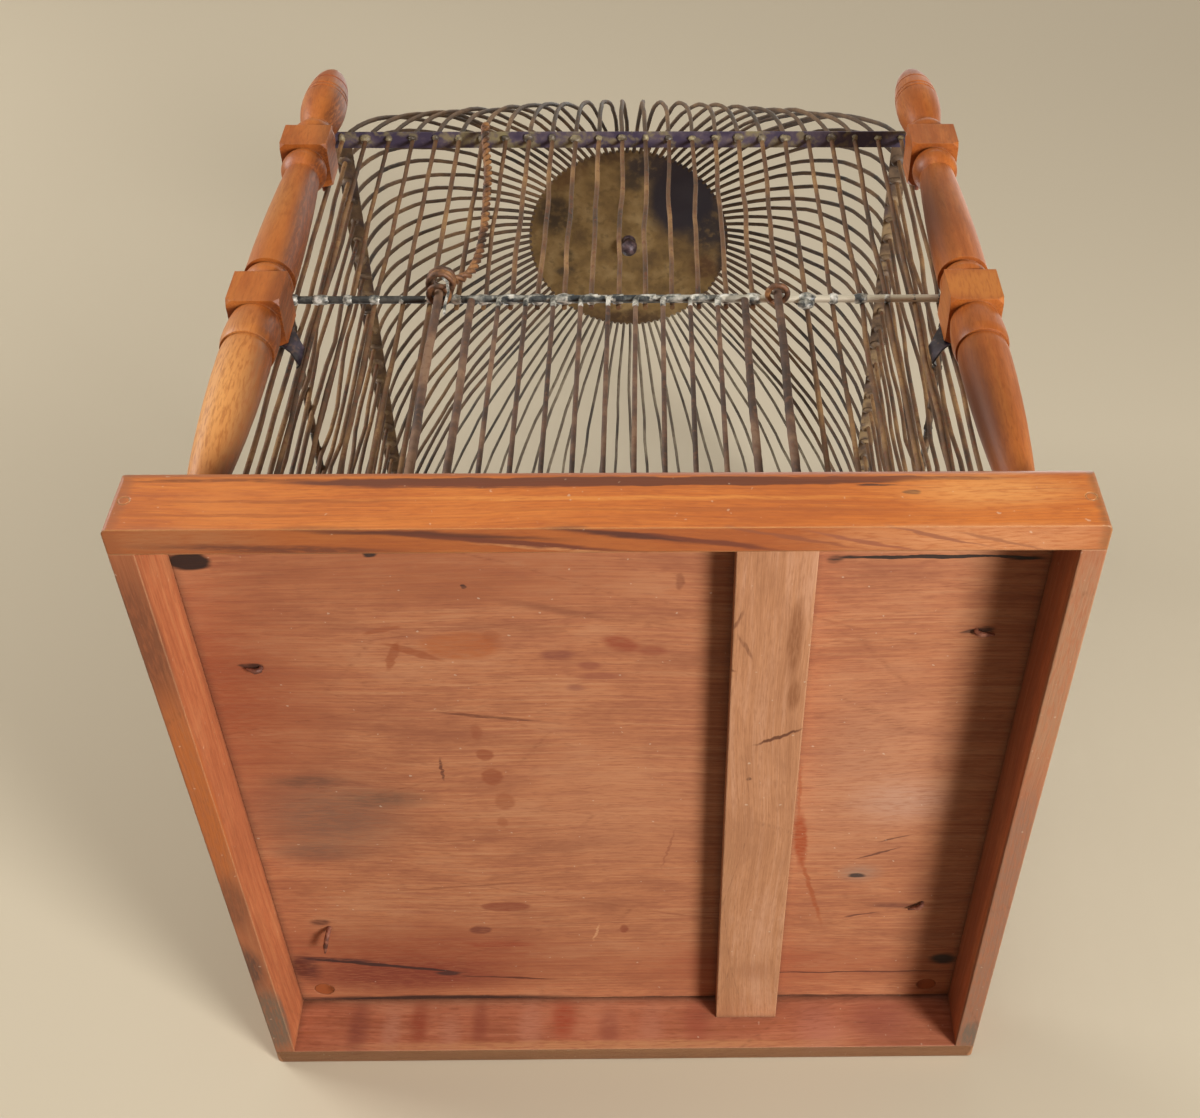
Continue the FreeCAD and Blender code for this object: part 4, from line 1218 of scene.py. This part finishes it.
    def row(self, y: float, z: float) -> list[Vector]:
        """Return a place beside each wire of the front or rear wall.

        Args:
            y: where the row runs.
            z: its height.
        Returns:
            The places from left to right.
        """
        half = self.gaps // 2
        return [Vector((i * self.half_x / half, y, z)) for i in range(-half, half + 1)]

    def flanks(self, x: float, z: float) -> list[Vector]:
        """Return a place beside each wire of the side walls.

        Args:
            x: how far from the middle.
            z: their height.
        Returns:
            The places, left and right in turn.
        """
        half = self.gaps // 2
        along = [j * self.half_y / half for j in range(1 - half, half)]
        return [Vector((side * x, y, z)) for y in along for side in (-1, 1)]

    def solder(self) -> None:
        """Drop solder where wires cross the rods and the strips."""
        bar_y, bar_x = self.half_y + self.bar_offset, self.half_x + self.bar_offset
        low = self.strip_top - self.drop_sink
        front = self.row(-bar_y, self.bar_z)
        stray_x, stray_y, stray_z = self.stray_drop
        front.append(Vector((stray_x, stray_y - bar_y, self.bar_z + stray_z)))
        others = self.row(bar_y, self.bar_z) + self.flanks(bar_x, self.bar_z)
        strip = self.row(-self.half_y - self.strip_out, low)
        rims = self.row(self.half_y, low) + self.flanks(self.half_x, low)
        drops = (
            ("front_solder", front, (3.2, 2.15, 2.2), SOLDER, "dark_bar"),
            ("rear_and_side_solder", others, (1.7, 1.9, 1.9), BROWN_ROD, "dark_bar"),
            ("strip_solder", strip, (2.0, 2.3, 1.3), STRIP_DROP, "band_paint"),
            ("rim_solder", rims, (3.2, 3.2, 1.6), STRIP_RUST, "band_paint"),
        )
        for name, spots, half_sizes, finish, slot in drops:
            settle(blobs(name, spots, half_sizes), Body.CAGE, slot, finish.build())

    def dress(self) -> None:
        """Tin the rods and paint the strips."""
        dress(DARK_ROD.build(), "mid_bar_front")
        dress(BROWN_ROD.build(), "mid_bar_rear", "mid_bar_left", "mid_bar_right")
        dress(STRIP_PAINT.build(), "top_band_front")
        dress(STRIP_RUST.build(), "top_band_rear", "top_band_left", "top_band_right")


@dataclass
class Crown:
    """Disc, cap, hanger and ring."""

    disc_low: float = 453.2
    knob_radius: float = 5.2
    knob_z: float = 446.2
    neck_share: float = 0.78
    lump_size: float = 3.0
    lump_depth: float = 0.7

    def build(self) -> None:
        """Shape the hanger's lower end: a lumpy knob whose neck reaches up to the disc."""
        bpy.ops.object.select_all(action="DESELECT")
        bpy.ops.mesh.primitive_uv_sphere_add(segments=32, ring_count=16, radius=self.knob_radius * MM)
        knob = bpy.context.object
        knob.name = "hammered_knob"
        with editing():
            bpy.ops.transform.translate(value=(0, 0, self.knob_z * MM))
        neck_z = self.knob_z + self.neck_share * self.knob_radius
        pick(knob, lambda spot: spot.z > neck_z * MM)
        with editing(""):
            bpy.ops.transform.translate(value=(0, 0, (self.disc_low - neck_z) * MM))
        add_lumps(knob, "lump", self.lump_size, self.lump_depth)
        apply_all(knob)
        bpy.ops.object.shade_smooth()
        settle(knob, Body.CAGE, "crown_tin", KNOB_LACQUER.build())

    def dress(self) -> None:
        """Tarnish the brass, lacquer the hanger and rust the ring."""
        dress(CROWN_BRASS.build(), "crown_disc", "crown_cap")
        dress(KNOB_LACQUER.build(), "crown_hanger")
        dress(TIE_IRON.build(), "hanging_ring")


@dataclass
class SlidingDoor:
    """The door and its eyes."""

    pieces: tuple[str, ...] = ("door_wires", "door_bottom_bar", "door_runner_left", "door_runner_right")
    rods: tuple[tuple[str, float, float, float], ...] = (
        ("door_guide_rod_left", -75.4, 184.3, 1.8),
        ("door_guide_rod_right", 67.38, 184.3, 1.75),
        ("door_side_rod_left", -61.3, 175.9, 1.6),
        ("door_side_rod_right", 53.28, 175.9, 1.6),
    )
    rod_low: float = 37.6
    rod_steps: int = 60
    rod_sway: float = 0.35
    pit_size: float = 3.2
    pit_depth: float = 0.45
    plane: float = -140.5
    middle: float = -4.01
    pitch: float = 11.458
    wires: int = 9
    rail_z: float = 177.5
    top_radius: float = 1.1
    top_out: float = 0.6
    # A wire's top from its stem to its end, sideways and up from the rail
    top_route: tuple[tuple[float, float], ...] = ((0, -6.5), (0, -1.6), (0.7, -0.4), (2.4, 0.3), (7.2, 0.5))

    def build(self) -> None:
        """Turn each door wire's tinned top over to the right along the top rail, and pit the rods."""
        y = self.plane - self.top_out
        path = draw_path("top", [Vector((x, y, self.rail_z + z)) * MM for x, z in self.top_route])
        top = round_wire(path, self.top_radius)
        first = self.middle - self.pitch * (self.wires - 1) / 2
        tops = []
        for at in range(self.wires):
            length = Matrix.Diagonal((vary(at, 0.7, 0.5, 5.3, 0.4), 1, 1, 1))
            place = Matrix.Translation(((first + self.pitch * at) * MM, 0, 0))
            tops.append(copy_of(top, place @ length))
        bpy.data.objects.remove(top)
        settle(join(tops, "tinned_wire_tops"), Body.DOOR, "door_iron", SOLDER.build())
        self.pitted_rods()

    def pitted_rods(self) -> None:
        """Draw each thick rod a little crooked and pit it with rust."""
        finish = DOOR_IRON.build()
        for number, (name, x, high, radius) in enumerate(self.rods):
            spots = []
            for at in range(self.rod_steps + 1):
                share = at / self.rod_steps
                sway = self.rod_sway * math.sin(math.pi * share) * math.sin(7 * share + 2.3 * number)
                z = self.rod_low + (high - self.rod_low) * share
                spots.append(Vector((x + sway, self.plane, z)) * MM)
            rod = round_wire(draw_path("rod", spots), radius, 3)
            rod.name = name.replace("door", "pitted")
            add_lumps(rod, "rust", self.pit_size, self.pit_depth)
            apply_all(rod)
            settle(rod, Body.DOOR, "door_iron", finish, name)

    def dress(self) -> None:
        """Rust the door's iron, and tin its top rail."""
        dress(DOOR_IRON.build(), *self.pieces)
        dress(DARK_ROD.build(), "door_top_rail")
        dress(TIE_IRON.build(), "guide_eye_left", "guide_eye_right")


@dataclass
class TieWire:
    """A coil over the left eye and a twisted tail hooked over the front strip."""

    centre: tuple[float, float] = (-75.4, -140.5)
    coil_low: float = 186.25
    coil_radius: float = 5.0
    coil_pitch: float = 2.5
    coil_turns: float = 3.4
    coil_steps: int = 64
    coil_wire: float = 1.25
    loose_size: float = 4.0
    loose_depth: float = 1.6
    strand: float = 1.15
    strand_share: float = 0.92
    twist: float = 9.0
    route: tuple[tuple[float, float, float], ...] = (
        (-70.4, -138.6, 194.4), (-69.0, -137.6, 196.8), (-64.2, -136.1, 203.5), (-61.7, -135.1, 222.0),
        (-61.4, -135.2, 248.0), (-62.4, -135.0, 274.0), (-63.6, -135.9, 298.0), (-66.2, -139.6, 316.0),
        (-67.0, -140.4, 328.5), (-67.1, -139.2, 331.6), (-67.2, -135.6, 332.0),
    )
    end_radius: float = 0.6
    end_route: tuple[tuple[float, float, float], ...] = (
        (-74.0, -144.8, 187.0), (-71.6, -145.6, 182.5), (-70.4, -145.4, 175.0), (-71.0, -145.2, 167.0),
        (-70.7, -145.4, 159.0),
    )

    def build(self) -> None:
        """Wind the coil and twist the tail."""
        finish = TIE_IRON.build()
        path = draw_path("coil", [Vector((self.coil_radius * MM, 0, 0))])
        screw = path.modifiers.new("turns", "SCREW")
        screw.angle = 2 * math.pi * self.coil_turns
        screw.screw_offset = self.coil_pitch * self.coil_turns * MM
        screw.steps = screw.render_steps = self.coil_steps
        add_lumps(path, "loose", self.loose_size, self.loose_depth)
        apply_all(path)
        path.data.transform(Matrix.Translation(Vector((*self.centre, self.coil_low)) * MM))
        coil = round_wire(path, self.coil_wire, 2)
        coil.name = "wound_tie"
        settle(coil, Body.CAGE, "tie_iron", finish, "tie_coil")
        strands = [draw_path("strand", self.strand_spots(side)) for side in (0, math.pi)]
        tail = round_wire(join(strands, "twisted_tail"), self.strand)
        settle(tail, Body.CAGE, "tie_iron", finish, "tie_tail")
        self.loose_end()

    def loose_end(self) -> None:
        """Hang the tie wire's loose end beside the left eye, its pale solder colour a painted highlight."""
        path = draw_path("loose", [Vector(spot) * MM for spot in self.end_route])
        end = round_wire(path, self.end_radius)
        end.name = "loose_tie_end"
        # Pale solder colour on the loose end: a painted highlight
        settle(end, Body.CAGE, "tie_iron", SOLDER.build())

    def strand_spots(self, start: float) -> list[Vector]:
        """Follow the tail's route with one twisted strand.

        Args:
            start: the strand's angle at the coil.
        Returns:
            The strand's places.
        """
        curve = bpy.data.curves.new("tail_route", "CURVE")
        curve.dimensions = "3D"
        curve.resolution_u = 12
        spline = curve.splines.new("NURBS")
        spline.points.add(len(self.route) - 1)
        for spot, point in zip(self.route, spline.points):
            point.co = (*(Vector(spot) * MM), 1)
        spline.order_u = 3
        spline.use_endpoint_u = True
        holder = bpy.data.objects.new("tail_route", curve)
        line = [v.co.copy() for v in bpy.data.meshes.new_from_object(holder).vertices]
        bpy.data.objects.remove(holder)
        spots, gone = [], 0.0
        for at, spot in enumerate(line):
            gone += (spot - line[at - 1]).length if at else 0.0
            ahead = (line[min(at + 1, len(line) - 1)] - line[max(at - 1, 0)]).normalized()
            side = ahead.cross(Vector((0, 1, 0))).normalized()
            angle = start + 2 * math.pi * gone / (self.twist * MM)
            swing = side * math.cos(angle) + ahead.cross(side) * math.sin(angle)
            spots.append(spot + swing * self.strand * MM * self.strand_share)
        return spots


@dataclass
class Studio:
    """Floor, backdrop, lamps, sky and camera."""

    pale: str = "C2B69E"
    spot: tuple[float, float, float] = (0.015058, -0.506253, -0.378235)
    right: tuple[float, float, float] = (0.99990358, -0.00516074, -0.01289152)
    up: tuple[float, float, float] = (0.00529547, -0.71650398, 0.69756291)
    lens: float = 46.62
    shift: tuple[float, float] = (-0.0627, 0.0318)
    room: float = 0.2
    warm: str = "FFEAD2"
    matt: float = 0.95
    sheet_size: float = 6.0
    backdrop: tuple[float, float, float] = (0, 0.1705, 0.6)
    aim_z: float = 0.15
    sensor: float = 36.0
    near: float = 0.01
    lamps: tuple[tuple[str, tuple[float, float, float], float, float], ...] = (
        ("Key", (1.1, -0.7, -1.05), 0.5, 38.0),
        ("Left", (-1.6, -0.9, 0.75), 0.8, 25.0),
        ("Front", (-0.4, -1.9, 0.3), 1.4, 8.0),
        ("Over", (0.5, 0.2, 1.9), 1.4, 8.0),
        ("Behind", (-0.9, 1.7, 0.9), 1.2, 22.0),
    )

    def build(self) -> None:
        """Set up the surroundings."""
        material = self.paper()
        self.sheet("floor", (0, 0, 0), (0, 0, 0), material)
        self.sheet("backdrop", self.backdrop, (math.pi / 2, 0, 0), material)
        self.sky()
        for name, place, size, power in self.lamps:
            self.lamp(name, Vector(place), size, power)
        self.camera()

    def paper(self) -> Material:
        """Return the plain floor's matt finish, seen from its front only."""
        material, tree, shader = new_material("Plain matt paper")
        shader.inputs["Base Color"].default_value = linear(self.pale)
        shader.inputs["Roughness"].default_value = self.matt
        side = add_node(tree, "NewGeometry")
        clear = add_node(tree, "BsdfTransparent")
        both = add_node(tree, "MixShader", {
            0: side.outputs["Backfacing"], 1: shader.outputs[0], 2: clear.outputs[0],
        })
        tree.links.new(both.outputs[0], tree.nodes["Material Output"].inputs["Surface"])
        return material

    def sheet(self, name: str, place: tuple, turn: tuple, material: Material) -> None:
        """Lay one plain sheet.

        Args:
            name: the sheet's name.
            place: its middle.
            turn: its rotation.
            material: its finish.
        """
        bpy.ops.object.select_all(action="DESELECT")
        bpy.ops.mesh.primitive_plane_add(size=self.sheet_size, location=place, rotation=turn)
        sheet = bpy.context.object
        sheet.name = name
        sheet.data.materials.append(material)
        sheet.visible_shadow = False
        sheet.visible_diffuse = False
        sheet.visible_glossy = False

    def sky(self) -> None:
        """Light everything softly and show the pale colour to the camera."""
        world = bpy.data.worlds.new("Soft room")
        world.use_nodes = True
        tree = world.node_tree
        rays = add_node(tree, "LightPath")
        seen = add_node(tree, "Math", {0: rays.outputs["Is Camera Ray"], 1: rays.outputs["Is Glossy Ray"]},
                        operation="MAXIMUM")
        room = add_node(tree, "Background", {"Color": linear(self.warm), "Strength": self.room})
        pale = add_node(tree, "Background", {"Color": linear(self.pale), "Strength": 1.0})
        both = add_node(tree, "MixShader", {0: seen.outputs[0], 1: room.outputs[0], 2: pale.outputs[0]})
        tree.links.new(both.outputs[0], tree.nodes["World Output"].inputs["Surface"])
        bpy.context.scene.world = world

    def lamp(self, name: str, place: Vector, size: float, power: float) -> None:
        """Hang one soft lamp that faces the cage.

        Args:
            name: the lamp's name.
            place: where it hangs.
            size: its width.
            power: its power in watts.
        """
        data = bpy.data.lights.new(name, "AREA")
        data.size = size
        data.energy = power
        lamp = bpy.data.objects.new(name, data)
        lamp.location = place
        lamp.rotation_euler = (Vector((0, 0, self.aim_z)) - place).to_track_quat("-Z", "Y").to_euler()
        bpy.context.scene.collection.objects.link(lamp)

    def camera(self) -> None:
        """Set the camera where the photograph was taken from."""
        data = bpy.data.cameras.new("Camera")
        data.sensor_fit = "HORIZONTAL"
        data.sensor_width = self.sensor
        data.lens = self.lens
        data.shift_x, data.shift_y = self.shift
        data.clip_start = self.near
        camera = bpy.data.objects.new("Camera", data)
        right, up = Vector(self.right), Vector(self.up)
        turn = Matrix((right, up, right.cross(up))).transposed()
        camera.matrix_world = Matrix.Translation(self.spot) @ turn.to_4x4()
        bpy.context.scene.collection.objects.link(camera)
        bpy.context.scene.camera = camera


def main() -> None:
    """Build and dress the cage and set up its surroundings."""
    logging.basicConfig(level=logging.INFO, format="%(message)s")
    bpy.context.scene.view_settings.view_transform = "Standard"
    dressed = (BaseFrame(), CornerPosts(), WireCage(), Crown(), SlidingDoor())
    for part in (*dressed, TieWire()):
        part.build()
    for part in dressed:
        part.dress()
    Studio().build()


if __name__ == "__main__":
    main()
